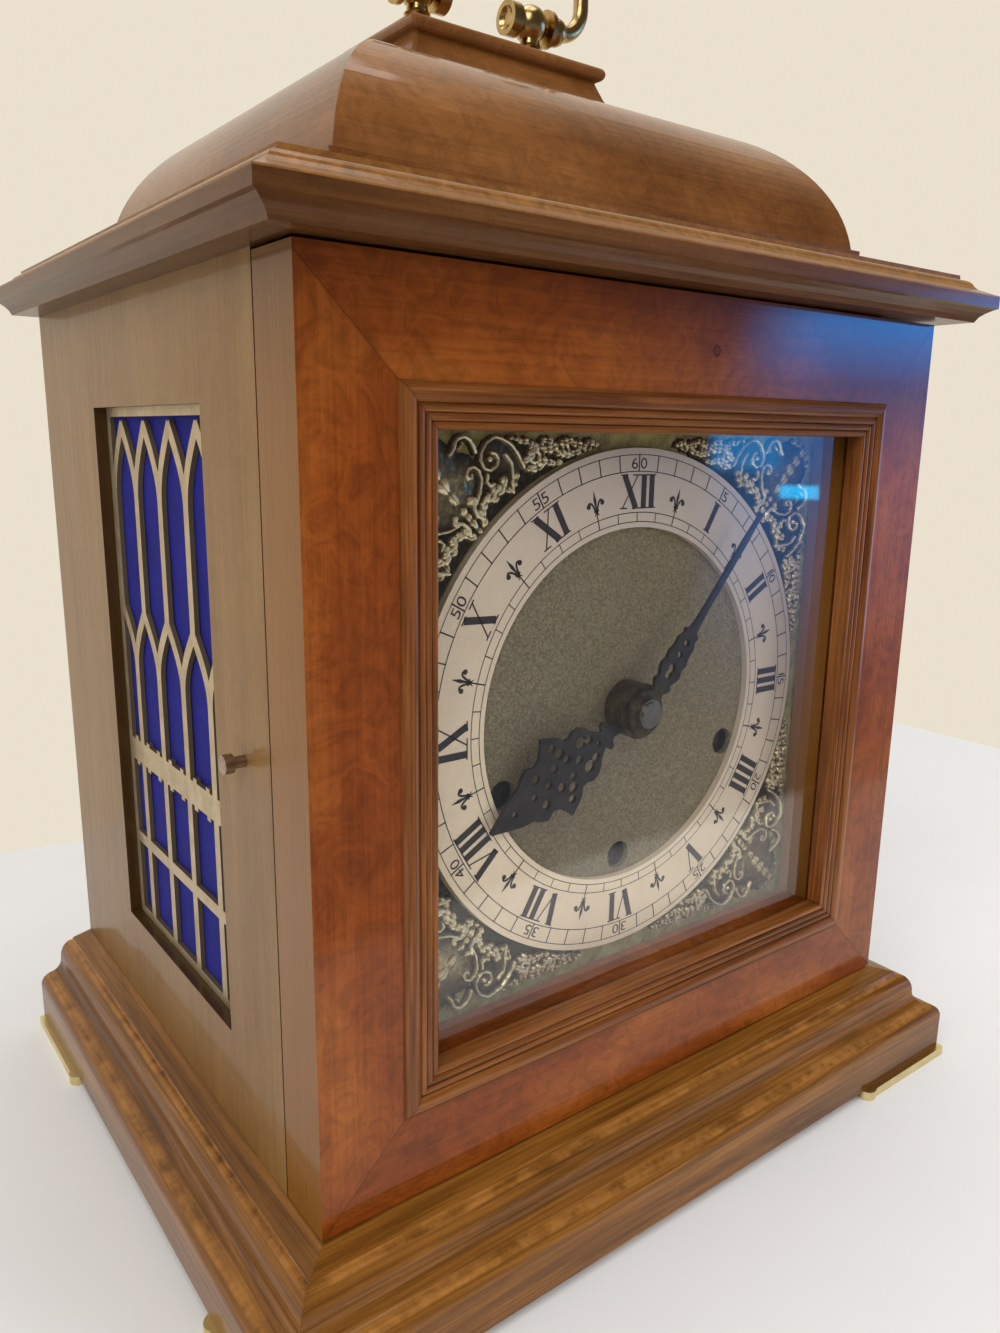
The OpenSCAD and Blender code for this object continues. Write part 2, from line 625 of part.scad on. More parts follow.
// Half of a pointed arch, from a little past its apex down to the bar at its side
module arch_side(apex_x, side, apex, foot) {
    half = pitch / 2;
    stroke([for (i = [0:8]) let(t = i / 8)
        [apex_x + side * half * (sin(90 * t) * 1.06 - 0.06), fret_h - apex - (foot - apex) * t]]);
}
module fret_bars(at, from, to) {
    for (x = at) translate([x - fret_bar / 2, fret_h - to]) square([fret_bar, to - from]);
}
module fret_outline() {
    ends = fret_w / 2;
    posts = [for (k = [0:fret_bays]) k * pitch + fret_edge - ends];
    mids = [for (k = [0:fret_bays - 1]) (k + 0.5) * pitch + fret_edge - ends];
    for (drop = [[0, fret_rail], band_drop, cross_drop, [fret_h - fret_rail, fret_h]])
        translate([-ends, fret_h - drop[1]]) square([fret_w, drop[1] - drop[0]]);
    for (x = [-ends, ends - fret_edge]) translate([x, 0]) square([fret_edge, fret_h]);
    intersection() {
        translate([-ends, 0]) square([fret_w, fret_h]);
        union() {
            for (x = mids) for (side = [-1, 1]) arch_side(x, side, upper_apex, upper_foot);
            for (x = posts) for (side = [-1, 1]) arch_side(x, side, lower_apex, lower_foot);
            fret_bars(posts, upper_foot - 0.5, lower_apex + 2);
            fret_bars(mids, lower_foot - 0.5, fret_h - 1);
            for (x = posts) for (side = [-1, 1]) for (drop = [band_drop[0] - crenel, band_drop[1] - 1])
                translate([x + side * pitch * 0.24 - crenel_w / 2, fret_h - drop - crenel - 1]) square([crenel_w, crenel + 1]);
        }
    }
}
module side_frets() {
    color(brass) placed() for (s = [0, 1]) mirror([s, 0, 0]) translate([half_w - fret_recess - fret_t, fret_mid, fret_z - fret_h / 2])
        rotate([90, 0, 90]) linear_extrude(height = fret_t) fret_outline();
}
module fret_cloths() {
    face = half_w - fret_recess - fret_t;
    color(blue) placed() for (s = [0, 1]) mirror([s, 0, 0]) box(face - cloth_t, face,
        fret_mid - fret_w / 2, fret_mid + fret_w / 2, fret_z - fret_h / 2, fret_z + fret_h / 2);
}

// Dial: plate with feet, silvered ring, cast corners
winding = [[0, -sqrt(winding_x * winding_x + winding_drop * winding_drop) + 1.6],
    [-winding_x, -winding_drop], [winding_x, -winding_drop]];
dial_foot_at = [[-54, 44], [54, 44], [-40, -62], [40, -62]];
module dial_plate() {
    color(brass) placed() {
        difference() {
            along_y(plate_y, dial_back) translate([0, centre_z]) square(dial_w, center = true);
            rod_y(5, 0, 60, 0, centre_z);
            for (w = winding) rod_y(winding_hole_r, 0, 60, w[0], centre_z + w[1]);
        }
        for (f = dial_foot_at) rod_y(2.5, dial_back, front_plate_y, f[0], centre_z + f[1]);
    }
}
module chapter_ring() {
    color(silver) placed() difference() {
        rod_y(ring_od / 2, plate_y - ring_t, plate_y, 0, centre_z);
        rod_y(ring_id / 2, 0, 60, 0, centre_z);
    }
}
cast_size = 52;
scroll_w = 14;
module spandrels() {
    limit = sight - 1.6;
    low = limit - cast_size;
    cut = low - 6;
    color(brass) placed() translate([0, 0, centre_z]) for (turn = [0, 90, 180, 270]) rotate([0, turn, 0])
        along_y(plate_y - spandrel_t, plate_y) difference() {
            translate([low, low]) square(cast_size);
            circle(r = ring_od / 2 + 1, $fn = 96);
            translate([cut, low]) square([scroll_w, cast_size]);
            translate([low, cut]) square([cast_size, scroll_w]);
        }
}

// Hands, drawn pointing up and turned to the time shown
minute_angle = minute_shown * 6;
hour_angle = hour_shown * 30 + minute_shown / 2;
hour_y = plate_y - 6.2;
hour_boss_y = hour_y - 1.9;
minute_y = hour_y - 3.8;
blade_t = 1.2;
cannon_r = 2.4;
pipe_r = 3.4;
module turned(angle, y0, y1) {
    translate([0, y1, centre_z]) rotate([0, angle, 0]) rotate([90, 0, 0]) linear_extrude(height = y1 - y0) children();
}
module mirrored_outline(pts) {
    last = len(pts) - 1;
    polygon(concat(pts, [for (i = [0:last]) [-pts[last - i][0], pts[last - i][1]]]));
}
module hour_hand() {
    k = hour_len / 63;
    edge = [[3.2, 5], [1.9, 11.4], [2.6, 12.6], [4.6, 13], [5, 14], [4.4, 15], [2.4, 15.4], [3.8, 17], [5.2, 18.8],
        [7.6, 20.2], [9.2, 22.3], [9.6, 24.6], [8.6, 26.8], [8.9, 28.8], [11.2, 30.2], [12.8, 32.8], [14.8, 36],
        [12.2, 37.2], [9.4, 39.2], [8.4, 41.4], [9.8, 44.4], [8.2, 47], [6.4, 49], [5.2, 53], [3, 57.6], [1, 61.6],
        [0.4, 63]];
    holes = [[0, 17.8, 0.9], [3.4, 20.6, 1.5], [4.5, 23.8, 2], [0, 26.4, 1.5], [3.2, 30.4, 1.4], [6.4, 32, 1.7],
        [9.6, 33.8, 1.4], [3.6, 35.6, 1.6], [0, 39.4, 1.3], [4.8, 42.8, 1.5], [0, 45.4, 1.1], [0, 53.6, 1]];
    color(black) placed() {
        turned(hour_angle, hour_y, hour_y + blade_t) difference() {
            mirrored_outline([for (p = edge) [p[0], p[1] * k]]);
            for (h = holes) for (s = [-1, 1]) translate([s * h[0], h[1] * k]) circle(r = h[2], $fn = 20);
            circle(r = hour_boss_r - 1);
        }
        difference() {
            rod_y(hour_boss_r, hour_boss_y, plate_y - 0.4, 0, centre_z);
            rod_y(pipe_r, 0, 60, 0, centre_z);
        }
    }
}
module minute_hand() {
    k = minute_len / 77;
    edge = [[2.6, 4], [2.4, 8], [3.8, 9.6], [4.2, 10.6], [3.2, 12], [4.6, 14.4], [5, 16], [4.2, 18], [4.8, 20.4],
        [4, 23], [4.2, 26], [3, 28.2], [3.4, 29.8], [1.7, 31.2], [1.3, 34], [1, 40], [1, 66], [0.5, 77]];
    holes = [[0, 14.2, 1.5], [0, 16.4, 1.6], [0, 21.8, 1.2], [0, 26.1, 1.2]];
    color(black) placed() difference() {
        union() {
            turned(minute_angle, minute_y, minute_y + blade_t) difference() {
                mirrored_outline([for (p = edge) [p[0], p[1] * k]]);
                for (h = holes) translate([h[0], h[1] * k]) circle(r = h[2], $fn = 20);
            }
            rod_y(7, minute_y, minute_y + blade_t + 0.3, 0, centre_z);
        }
        rod_y(cannon_r, 0, 60, 0, centre_z);
    }
}
module hand_nut() {
    color(silver) placed() difference() {
        union() {
            rod_y(4.6, minute_y - 2, minute_y, 0, centre_z);
            rod_y(3.8, minute_y - 2.5, minute_y - 2, 0, centre_z);
        }
        rod_y(arbor_r, minute_y - 1.6, 60, 0, centre_z);
    }
}

// Gears. A wheel's outline has one tooth centred on the angle first, measured anticlockwise
// from the +X direction as seen from the front.
function gear_points(teeth, mod, first) = let(r = teeth * mod / 2, step = 360 / teeth)
    [for (i = [0:teeth - 1]) for (q = [[r - 1.15 * mod, -0.27], [r + 0.7 * mod, -0.1],
        [r + 0.7 * mod, 0.1], [r - 1.15 * mod, 0.27]])
        let(a = first + (i + q[1]) * step) [q[0] * cos(a), q[0] * sin(a)]];
// Angle for the first tooth of the gear at b, so that it meshes with the gear at a
function meshed(at_a, at_b, teeth_a, first_a, teeth_b) =
    let(line = atan2(at_b[1] - at_a[1], at_b[0] - at_a[0]))
    line + 180 - 180 / teeth_b + (line - first_a) * teeth_a / teeth_b;
function tip_r(teeth, mod) = teeth * mod / 2 + 0.7 * mod;
function reach(teeth_a, teeth_b, mod) = (teeth_a + teeth_b) * mod / 2;
module gear(at, teeth, mod, first, y0, thick, bore = 0) {
    along_y(y0, y0 + thick, at[0], centre_z + at[1]) difference() {
        polygon(gear_points(teeth, mod, first));
        if (bore > 0) circle(r = bore);
    }
}
// A train wheel with spokes cut out
module spoked_gear(at, teeth, mod, first, y0, thick, hub) {
    rim = teeth * mod / 2 - 3.2 * mod - 0.6;
    along_y(y0, y0 + thick, at[0], centre_z + at[1]) difference() {
        polygon(gear_points(teeth, mod, first));
        difference() {
            circle(r = rim);
            circle(r = hub);
            for (i = [0:3]) rotate(i * 90 + 20) translate([0, -1.3]) square([rim + 1, 2.6]);
        }
    }
}
module arbor(at, y0, y1, r = arbor_r) { rod_y(r, y0, y1, at[0], centre_z + at[1]); }

// Motion work in front of the front plate
motion_mod = 0.5;
cannon_teeth = 14;
minute_teeth = 42;
minute_pinion_teeth = 10;
hour_teeth = 40;
motion_reach = reach(cannon_teeth, minute_teeth, motion_mod);
hour_mod = 2 * motion_reach / (minute_pinion_teeth + hour_teeth);
centre_at = [0, 0];
minute_at = [-motion_reach * cos(45), motion_reach * sin(45)];
stud_r = 1;
minute_first = meshed(centre_at, minute_at, cannon_teeth, 0, minute_teeth);
pinion_first = meshed(centre_at, minute_at, hour_teeth, 0, minute_pinion_teeth);
cannon_y = front_plate_y - 3.4;
hour_wheel_y = dial_back + 3;
module cannon_pinion() {
    color(brass) placed() difference() {
        union() {
            arbor(centre_at, minute_y, cannon_y + 2.6, cannon_r);
            gear(centre_at, cannon_teeth, motion_mod, 0, cannon_y - 1.4, 4);
        }
        arbor(centre_at, 0, 60, arbor_r);
    }
}
module minute_wheel() {
    color(brass) placed() difference() {
        union() {
            gear(minute_at, minute_teeth, motion_mod, minute_first, cannon_y - 0.4, wheel_t);
            gear(minute_at, minute_pinion_teeth, hour_mod, pinion_first, hour_wheel_y - 0.6, cannon_y - 0.4 - hour_wheel_y + 0.6);
        }
        arbor(minute_at, 0, 60, stud_r + run_fit);
    }
}
module hour_wheel() {
    color(brass) placed() difference() {
        union() {
            gear(centre_at, hour_teeth, hour_mod, 0, hour_wheel_y, wheel_t);
            arbor(centre_at, hour_boss_y, hour_wheel_y + wheel_t, pipe_r);
        }
        arbor(centre_at, 0, 60, cannon_r + run_fit);
    }
}

// Plates and pillars
pillar_at = [[-64, 48], [64, 48], [-64, -66], [64, -66], [0, 48]];
module plate(y0) {
    along_y(y0, y0 + plate_t, 0, centre_z) translate([-plate_w / 2, -plate_down])
        square([plate_w, plate_down + plate_up]);
}
module front_plate() {
    color(brass) placed() difference() {
        union() {
            plate(front_plate_y);
            arbor(minute_at, hour_wheel_y - 0.9, front_plate_y, stud_r);
        }
        for (w = winding) arbor(w, 0, 90, winding_arbor_r + run_fit);
        for (a = [centre_at, second_at, third_at, escape_at, drum_at]) arbor(a, 0, 90, arbor_r + run_fit);
    }
}
module back_plate() {
    color(brass) placed() difference() {
        plate(back_plate_y);
        for (w = winding) arbor(w, 60, 200, winding_arbor_r + run_fit);
        for (a = [centre_at, second_at, third_at, escape_at, drum_at]) arbor(a, 60, 200, arbor_r + run_fit);
        for (a = [pallet_at, balance_at]) arbor(a, 60, 200, staff_r + run_fit);
    }
}
module plate_pillars() {
    color(brass) placed() for (p = pillar_at) {
        arbor(p, in_y, back_plate_y, 3.6);
        for (y = [in_y, back_plate_y - 2.5]) arbor(p, y, y + 2.5, 4.4);
    }
}

// Spring barrels with their great wheels, and the winding arbors through them
great_mod = 0.65;
great_teeth = 84;
second_pinion_teeth = 12;
outer_mod = 0.62;
outer_teeth = 70;
drum_teeth = 20;
barrel_y = in_y + 3;
great_y = barrel_y + barrel_len;
great_t = 2.4;
time_at = winding[0];
strike_at = winding[1];
chime_at = winding[2];
drum_at = chime_at + reach(outer_teeth, drum_teeth, outer_mod) * [cos(-75), sin(-75)];
module barrel(at, r, teeth, mod, first) {
    color(brass) placed() difference() {
        union() {
            arbor(at, barrel_y, great_y, r);
            gear(at, teeth, mod, first, great_y, great_t);
            arbor(at, great_y + great_t, great_y + great_t + 1, 6);
        }
        arbor(at, 0, 200, winding_arbor_r + run_fit);
        along_y(barrel_y - 1, barrel_y + 1.2, at[0], centre_z + at[1]) difference() {
            circle(r = r - 2.4);
            circle(r = 7);
        }
    }
}
module time_barrel() { barrel(time_at, time_barrel_r, great_teeth, great_mod, 0); }
module strike_barrel() { barrel(strike_at, barrel_r, outer_teeth, outer_mod, 0); }
module chime_barrel() { barrel(chime_at, barrel_r, outer_teeth, outer_mod, 0); }
ratchet_r = 8.5;
module winding_arbor(at) {
    square_y = dial_back + 1.4;
    color(steel) placed() {
        arbor(at, front_plate_y - 3, rear_y + 1, winding_arbor_r);
        arbor(at, front_plate_y - 2.2, front_plate_y - 0.6, ratchet_r);
        arbor(at, in_y + 0.3, barrel_y - 0.3, 5);
        translate([at[0] - winding_square / 2, square_y, centre_z + at[1] - winding_square / 2])
            cube([winding_square, front_plate_y - 3 - square_y, winding_square]);
    }
}
module time_winding_arbor() { winding_arbor(time_at); }
module strike_winding_arbor() { winding_arbor(strike_at); }
module chime_winding_arbor() { winding_arbor(chime_at); }

// Going train. The second arbor stands where both its meshes close.
second_mod = 0.5;
second_teeth = 72;
centre_pinion_teeth = 18;
time_reach = reach(great_teeth, second_pinion_teeth, great_mod);
second_reach = reach(second_teeth, centre_pinion_teeth, second_mod);
time_drop = -time_at[1];
second_rise = (time_reach * time_reach - second_reach * second_reach + time_drop * time_drop) / (2 * time_drop);
second_at = [sqrt(time_reach * time_reach - second_rise * second_rise), second_rise - time_drop];
centre_mod = 0.55;
centre_teeth = 72;
third_pinion_teeth = 12;
third_at = reach(centre_teeth, third_pinion_teeth, centre_mod) * [cos(122), sin(122)];
third_mod = 0.45;
third_teeth = 72;
escape_pinion_teeth = 12;
escape_at = third_at + reach(third_teeth, escape_pinion_teeth, third_mod) * [cos(55), sin(55)];
second_pinion_first = meshed(time_at, second_at, great_teeth, 0, second_pinion_teeth);
centre_pinion_first = meshed(second_at, centre_at, second_teeth, 0, centre_pinion_teeth);
third_first = meshed(centre_at, third_at, centre_teeth, 0, third_pinion_teeth);
escape_first = meshed(third_at, escape_at, third_teeth, 0, escape_pinion_teeth);
drum_first = meshed(chime_at, drum_at, outer_teeth, 0, drum_teeth);
second_y = great_y + 6;
centre_wheel_y = second_y + 4.2;
third_wheel_y = in_y + 20;
module second_wheel() {
    color(brass) placed() {
        arbor(second_at, front_plate_y + 0.2, rear_y - 0.2);
        gear(second_at, second_pinion_teeth, great_mod, second_pinion_first, great_y - 0.6, 4);
        spoked_gear(second_at, second_teeth, second_mod, 0, second_y, wheel_t, 5);
    }
}
module centre_wheel() {
    color(brass) placed() {
        arbor(centre_at, minute_y - 1.6, rear_y - 0.2);
        gear(centre_at, centre_pinion_teeth, second_mod, centre_pinion_first, second_y - 0.7, 3.4);
        spoked_gear(centre_at, centre_teeth, centre_mod, 0, centre_wheel_y, wheel_t, 5);
        arbor(centre_at, in_y + 0.3, in_y + 2, 3);
    }
}
module third_wheel() {
    color(brass) placed() {
        arbor(third_at, front_plate_y + 0.2, rear_y - 0.2);
        gear(third_at, third_pinion_teeth, centre_mod, third_first, centre_wheel_y - 0.6, 3);
        spoked_gear(third_at, third_teeth, third_mod, 0, third_wheel_y, wheel_t, 4);
    }
}
// Escapement behind the back plate, under its cock
escape_teeth = 15;
escape_r = 8;
staff_r = 0.8;
escape_y = rear_y + 3;
balance_y = rear_y + 8;
cock_y = rear_y + 12;
cock_t = 2;
pallet_at = escape_at + 12 * [cos(10), sin(10)];
balance_at = pallet_at + 15 * [cos(10), sin(10)];
balance_r = 11;
module escape_wheel() {
    teeth = [for (i = [0:escape_teeth - 1]) for (q = [[escape_r - 2, 0.02], [escape_r, 0.42],
        [escape_r, 0.52], [escape_r - 2, 0.55]])
        let(a = (i + q[1]) * 360 / escape_teeth) [q[0] * cos(a), q[0] * sin(a)]];
    color(brass) placed() {
        arbor(escape_at, front_plate_y + 0.2, cock_y - 0.4);
        arbor(escape_at, cock_y - 0.5, cock_y + cock_t - 0.2, staff_r);
        gear(escape_at, escape_pinion_teeth, third_mod, escape_first, third_wheel_y - 0.6, 3);
        along_y(escape_y, escape_y + 1, escape_at[0], centre_z + escape_at[1]) difference() {
            polygon(teeth);
            difference() {
                circle(r = escape_r - 3);
                circle(r = 2.4);
                for (i = [0:3]) rotate(i * 90) translate([0, -0.5]) square([escape_r, 1]);
            }
        }
    }
}
// Lever with two pallet arms that straddle the escape wheel, and a forked tail
module pallet_lever() {
    out = escape_r + 0.8;
    swing = 12;
    color(steel) placed() {
        arbor(pallet_at, back_plate_y + 0.2, cock_y + cock_t - 0.2, staff_r);
        along_y(escape_y, escape_y + 1, pallet_at[0], centre_z + pallet_at[1]) rotate(10) difference() {
            union() {
                translate([-4.4, -8]) square([3.2, 16]);
                for (s = [-1, 1]) translate([-swing + 4.6, s > 0 ? 6.7 : -8]) square([4.6, 1.3]);
                translate([-3, -0.8]) square([14, 1.6]);
                translate([10, -1.6]) square([2.2, 3.2]);
                circle(r = 2);
            }
            translate([10.8, -0.6]) square([3, 1.2]);
            translate([-swing, 0]) circle(r = out);
        }
    }
}
module balance_wheel() {
    color(brass) placed() {
        arbor(balance_at, back_plate_y + 0.2, cock_y + cock_t - 0.2, staff_r);
        arbor(balance_at, escape_y + 1.6, balance_y, 2.2);
        along_y(balance_y, balance_y + 1.4, balance_at[0], centre_z + balance_at[1]) difference() {
            circle(r = balance_r);
            difference() {
                circle(r = balance_r - 1.6);
                circle(r = 2.4);
                rotate(35) square([2 * balance_r, 1.8], center = true);
            }
        }
    }
}
// Feet of the cock, clear of the escape wheel and of the balance
cock_foot = [escape_at + [-9, 7], balance_at + [14.5, 4]];
cock_r = 3.4;
cock_path = [cock_foot[0], escape_at, pallet_at, balance_at, cock_foot[1]];
module balance_cock() {
    color(brass) placed() {
        difference() {
            along_y(cock_y, cock_y + cock_t, 0, centre_z) union() {
                for (i = [0:3]) let(d = cock_path[i + 1] - cock_path[i]) translate(cock_path[i])
                    rotate(atan2(d[1], d[0])) translate([0, 0.4 - cock_r]) square([norm(d), 2 * cock_r - 0.8]);
                for (c = cock_path) translate(c) circle(r = cock_r);
            }
            for (a = [escape_at, pallet_at, balance_at]) arbor(a, 60, 200, staff_r + run_fit);
        }
        for (f = cock_foot) arbor(f, rear_y, cock_y + cock_t / 2, 2.4);
    }
}

// Chime: drum on its arbor, hammers on theirs, rods in an iron block on the base board
drum_y = rear_y + 3;
drum_len = hammer_count * hammer_pitch;
drum_r = 6;
lobe_r = 8.6;
hammer_at = [30, -58];
hammer_shaft_r = 1.6;
function hammer_y(i) = drum_y + (i - 0.5) * hammer_pitch;
module chime_drum() {
    color(brass) placed() {
        arbor(drum_at, front_plate_y + 0.2, drum_y + drum_len + 2);
        gear(drum_at, drum_teeth, outer_mod, drum_first, great_y - 0.6, 3.6);
        arbor(drum_at, drum_y, drum_y + drum_len, drum_r);
        for (i = [1:hammer_count]) for (k = [0:7]) translate([drum_at[0], hammer_y(i), centre_z + drum_at[1]])
            rotate([0, k * 45 + i * 11.25, 0]) cylinder(r = 0.8, h = lobe_r, $fn = 16);
    }
}
module chime_hammer(i) {
    y = hammer_y(i);
    d = drum_at - hammer_at;
    tail = norm(d) - lobe_r - 0.6;
    head_x = hammer_at[0] - hammer_len;
    head_top = centre_z + hammer_at[1] - 5;
    head_low = base_z + rod_h + rod_r + 1.6;
    color(brass) placed() difference() {
        union() {
            rod_y(3.4, y - 2.2, y + 2.2, hammer_at[0], centre_z + hammer_at[1]);
            along_y(y - 0.8, y + 0.8, hammer_at[0], centre_z + hammer_at[1]) {
                translate([-hammer_len - 2, -1.6]) square([hammer_len + 2, 3.2]);
                rotate(atan2(d[1], d[0])) translate([0, -1.2]) square([tail, 2.4]);
            }
            translate([head_x, y, head_low]) cylinder(r = hammer_head_r, h = head_top - head_low);
            translate([head_x, y, head_top - 1]) cylinder(r = 1.4, h = 6);
        }
        arbor(hammer_at, 60, 200, hammer_shaft_r + run_fit);
    }
}
module chime_hammer_1() { chime_hammer(1); }
module chime_hammer_2() { chime_hammer(2); }
module chime_hammer_3() { chime_hammer(3); }
module chime_hammer_4() { chime_hammer(4); }
module hammer_arbor() {
    color(steel) placed() {
        arbor(hammer_at, rear_y, hammer_y(hammer_count) + 8, hammer_shaft_r);
        arbor(hammer_at, rear_y, rear_y + 2, 4);
    }
}
block_x = inner_w - 18;
block_w = 16;
rod_seat = 8;
module chime_block() {
    color("#2e2c2b") placed() difference() {
        box(-block_x, -block_x + block_w, hammer_y(1) - 5, hammer_y(hammer_count) + 6, base_z, base_z + rod_h + 6);
        for (i = [1:hammer_count]) rod_x(rod_r + 0.02, -block_x + block_w - rod_seat, 0, hammer_y(i), base_z + rod_h);
    }
}
module chime_rods() {
    start = -block_x + block_w - rod_seat;
    color(steel) placed() for (i = [1:hammer_count])
        rod_x(rod_r, start, start + rod_len - (i - 1) * 9, hammer_y(i), base_z + rod_h);
}

// Back door with its stops, hinge leaves and turning knob
back_z0 = base_z + door_gap;
back_z1 = cornice_z - door_gap;
back_y = total_d - back_door_t - 0.6;
knob_x = inner_w - 12;
stop_w = 6;
tongue_t = 2;
vent_r = 4;
vent_pitch = 14;
vent_drop = 70;
module back_door() {
    edge = inner_w - 0.5;
    color(veneer) placed() difference() {
        box(-edge, edge - 0.3, back_y, total_d - 0.6, back_z0, back_z1);
        for (z = hinge_z) box(-edge - 1, back_leaf_x + door_gap / 2 + leaf_t + 0.05, back_hinge_y - leaf_w - 0.2,
            total_d + 1, z - hinge_h / 2, z + hinge_h / 2);
        for (z = hinge_z) box(-edge - 1, back_leaf_x + knuckle_r + 0.6, total_d - 3, total_d + 1,
            z - hinge_h / 2, z + hinge_h / 2);
        rod_y(2 + run_fit, 0, 2 * total_d, knob_x, centre_z);
        for (row = [0:2]) for (k = [-4:4])
            rod_y(vent_r, 0, 2 * total_d, k * vent_pitch, centre_z - vent_drop + row * vent_pitch);
    }
}
module back_door_stops() {
    color(walnut) placed() for (s = [0, 1]) mirror([s, 0, 0])
        box(inner_w - stop_w, inner_w, back_y - 6.5, back_y - 0.5, base_z + 1, cornice_z - top_board_t - 1);
}
module back_door_hinge_leaves() { color(brass) placed() at_back_hinge() hinge_leaf(false); }
module back_door_knob() {
    tongue_y = back_y - 6.5 - 0.6 - tongue_t;
    color(brass) placed() {
        rod_y(2, tongue_y, total_d + 1, knob_x, centre_z);
        rod_y(4, total_d - 0.3, total_d + knob_out - 4, knob_x, centre_z);
        rod_y(knob_r, total_d + knob_out - 4, total_d + knob_out, knob_x, centre_z);
        box(knob_x - 3, knob_x + 3, tongue_y, tongue_y + tongue_t, centre_z - 3, centre_z + 10);
        rod_y(4, back_y - 1.8, back_y - 0.3, knob_x, centre_z);
    }
}

base_board();
base_moulding();
bracket_feet();
case_side_left();
case_side_right();
case_top();
cornice_moulding();
caddy_plate();
caddy_dome();
top_pedestal();
handle_posts();
handle_bail();
dial_surround();
seat_board();
door_frame();
glazing_bead();
door_glass();
case_hinge_leaves();
front_door_hinge_leaves();
door_catch_pin();
door_release_button();
side_frets();
fret_cloths();
dial_plate();
chapter_ring();
spandrels();
hour_hand();
minute_hand();
hand_nut();
cannon_pinion();
minute_wheel();
hour_wheel();
front_plate();
back_plate();
plate_pillars();
time_barrel();
strike_barrel();
chime_barrel();
time_winding_arbor();
strike_winding_arbor();
chime_winding_arbor();
second_wheel();
centre_wheel();
third_wheel();
escape_wheel();
pallet_lever();
balance_wheel();
balance_cock();
chime_drum();
chime_hammer_1();
chime_hammer_2();
chime_hammer_3();
chime_hammer_4();
hammer_arbor();
chime_block();
chime_rods();
back_door();
back_door_stops();
back_door_hinge_leaves();
back_door_knob();
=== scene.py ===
import math
import bpy
import numpy as np
from mathutils import Vector, Matrix, noise


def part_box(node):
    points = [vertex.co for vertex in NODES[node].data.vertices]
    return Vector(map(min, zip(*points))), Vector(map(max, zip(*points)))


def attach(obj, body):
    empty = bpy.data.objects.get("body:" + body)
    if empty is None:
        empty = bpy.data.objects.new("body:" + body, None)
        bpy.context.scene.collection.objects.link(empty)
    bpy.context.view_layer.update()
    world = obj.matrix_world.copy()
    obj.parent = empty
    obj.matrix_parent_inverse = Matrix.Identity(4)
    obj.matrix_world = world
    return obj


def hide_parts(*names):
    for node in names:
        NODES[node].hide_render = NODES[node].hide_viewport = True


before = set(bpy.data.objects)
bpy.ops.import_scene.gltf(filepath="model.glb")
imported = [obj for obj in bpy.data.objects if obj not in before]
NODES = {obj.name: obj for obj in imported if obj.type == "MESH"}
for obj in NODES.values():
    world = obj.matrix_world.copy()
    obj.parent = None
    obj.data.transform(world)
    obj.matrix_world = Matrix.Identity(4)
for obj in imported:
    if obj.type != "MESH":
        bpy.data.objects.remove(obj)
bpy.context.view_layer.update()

MM = 0.001

# Places in metres: the faces of the door, the chapter ring and the dial plate, and the hands' height
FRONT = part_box("door_frame")[0].y
RING_LOW, RING_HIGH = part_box("chapter_ring")
RING_Y = RING_LOW.y
PLATE_Y = RING_HIGH.y
CENTRE_Z = (RING_LOW.z + RING_HIGH.z) / 2

# Sizes in mm: half the door, the ring, the dial's matted centre, the hands' boss and the castings' relief
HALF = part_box("door_frame")[1].x / MM
RING_R = (RING_HIGH.x - RING_LOW.x) / 2 / MM
MATT_R = 57.5
BOSS_R = 9.2
RELIEF = 2.5

# Heights in mm of the base's nose and of the cornice's foot
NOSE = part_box("bracket_feet")[1].z / MM + 13.7
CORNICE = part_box("cornice_moulding")[0].z / MM


def at(x, y, z):
    """A point given in mm from the hands' centre, with y from the door's front face."""
    return Vector((x * MM, FRONT + y * MM, CENTRE_Z + z * MM))


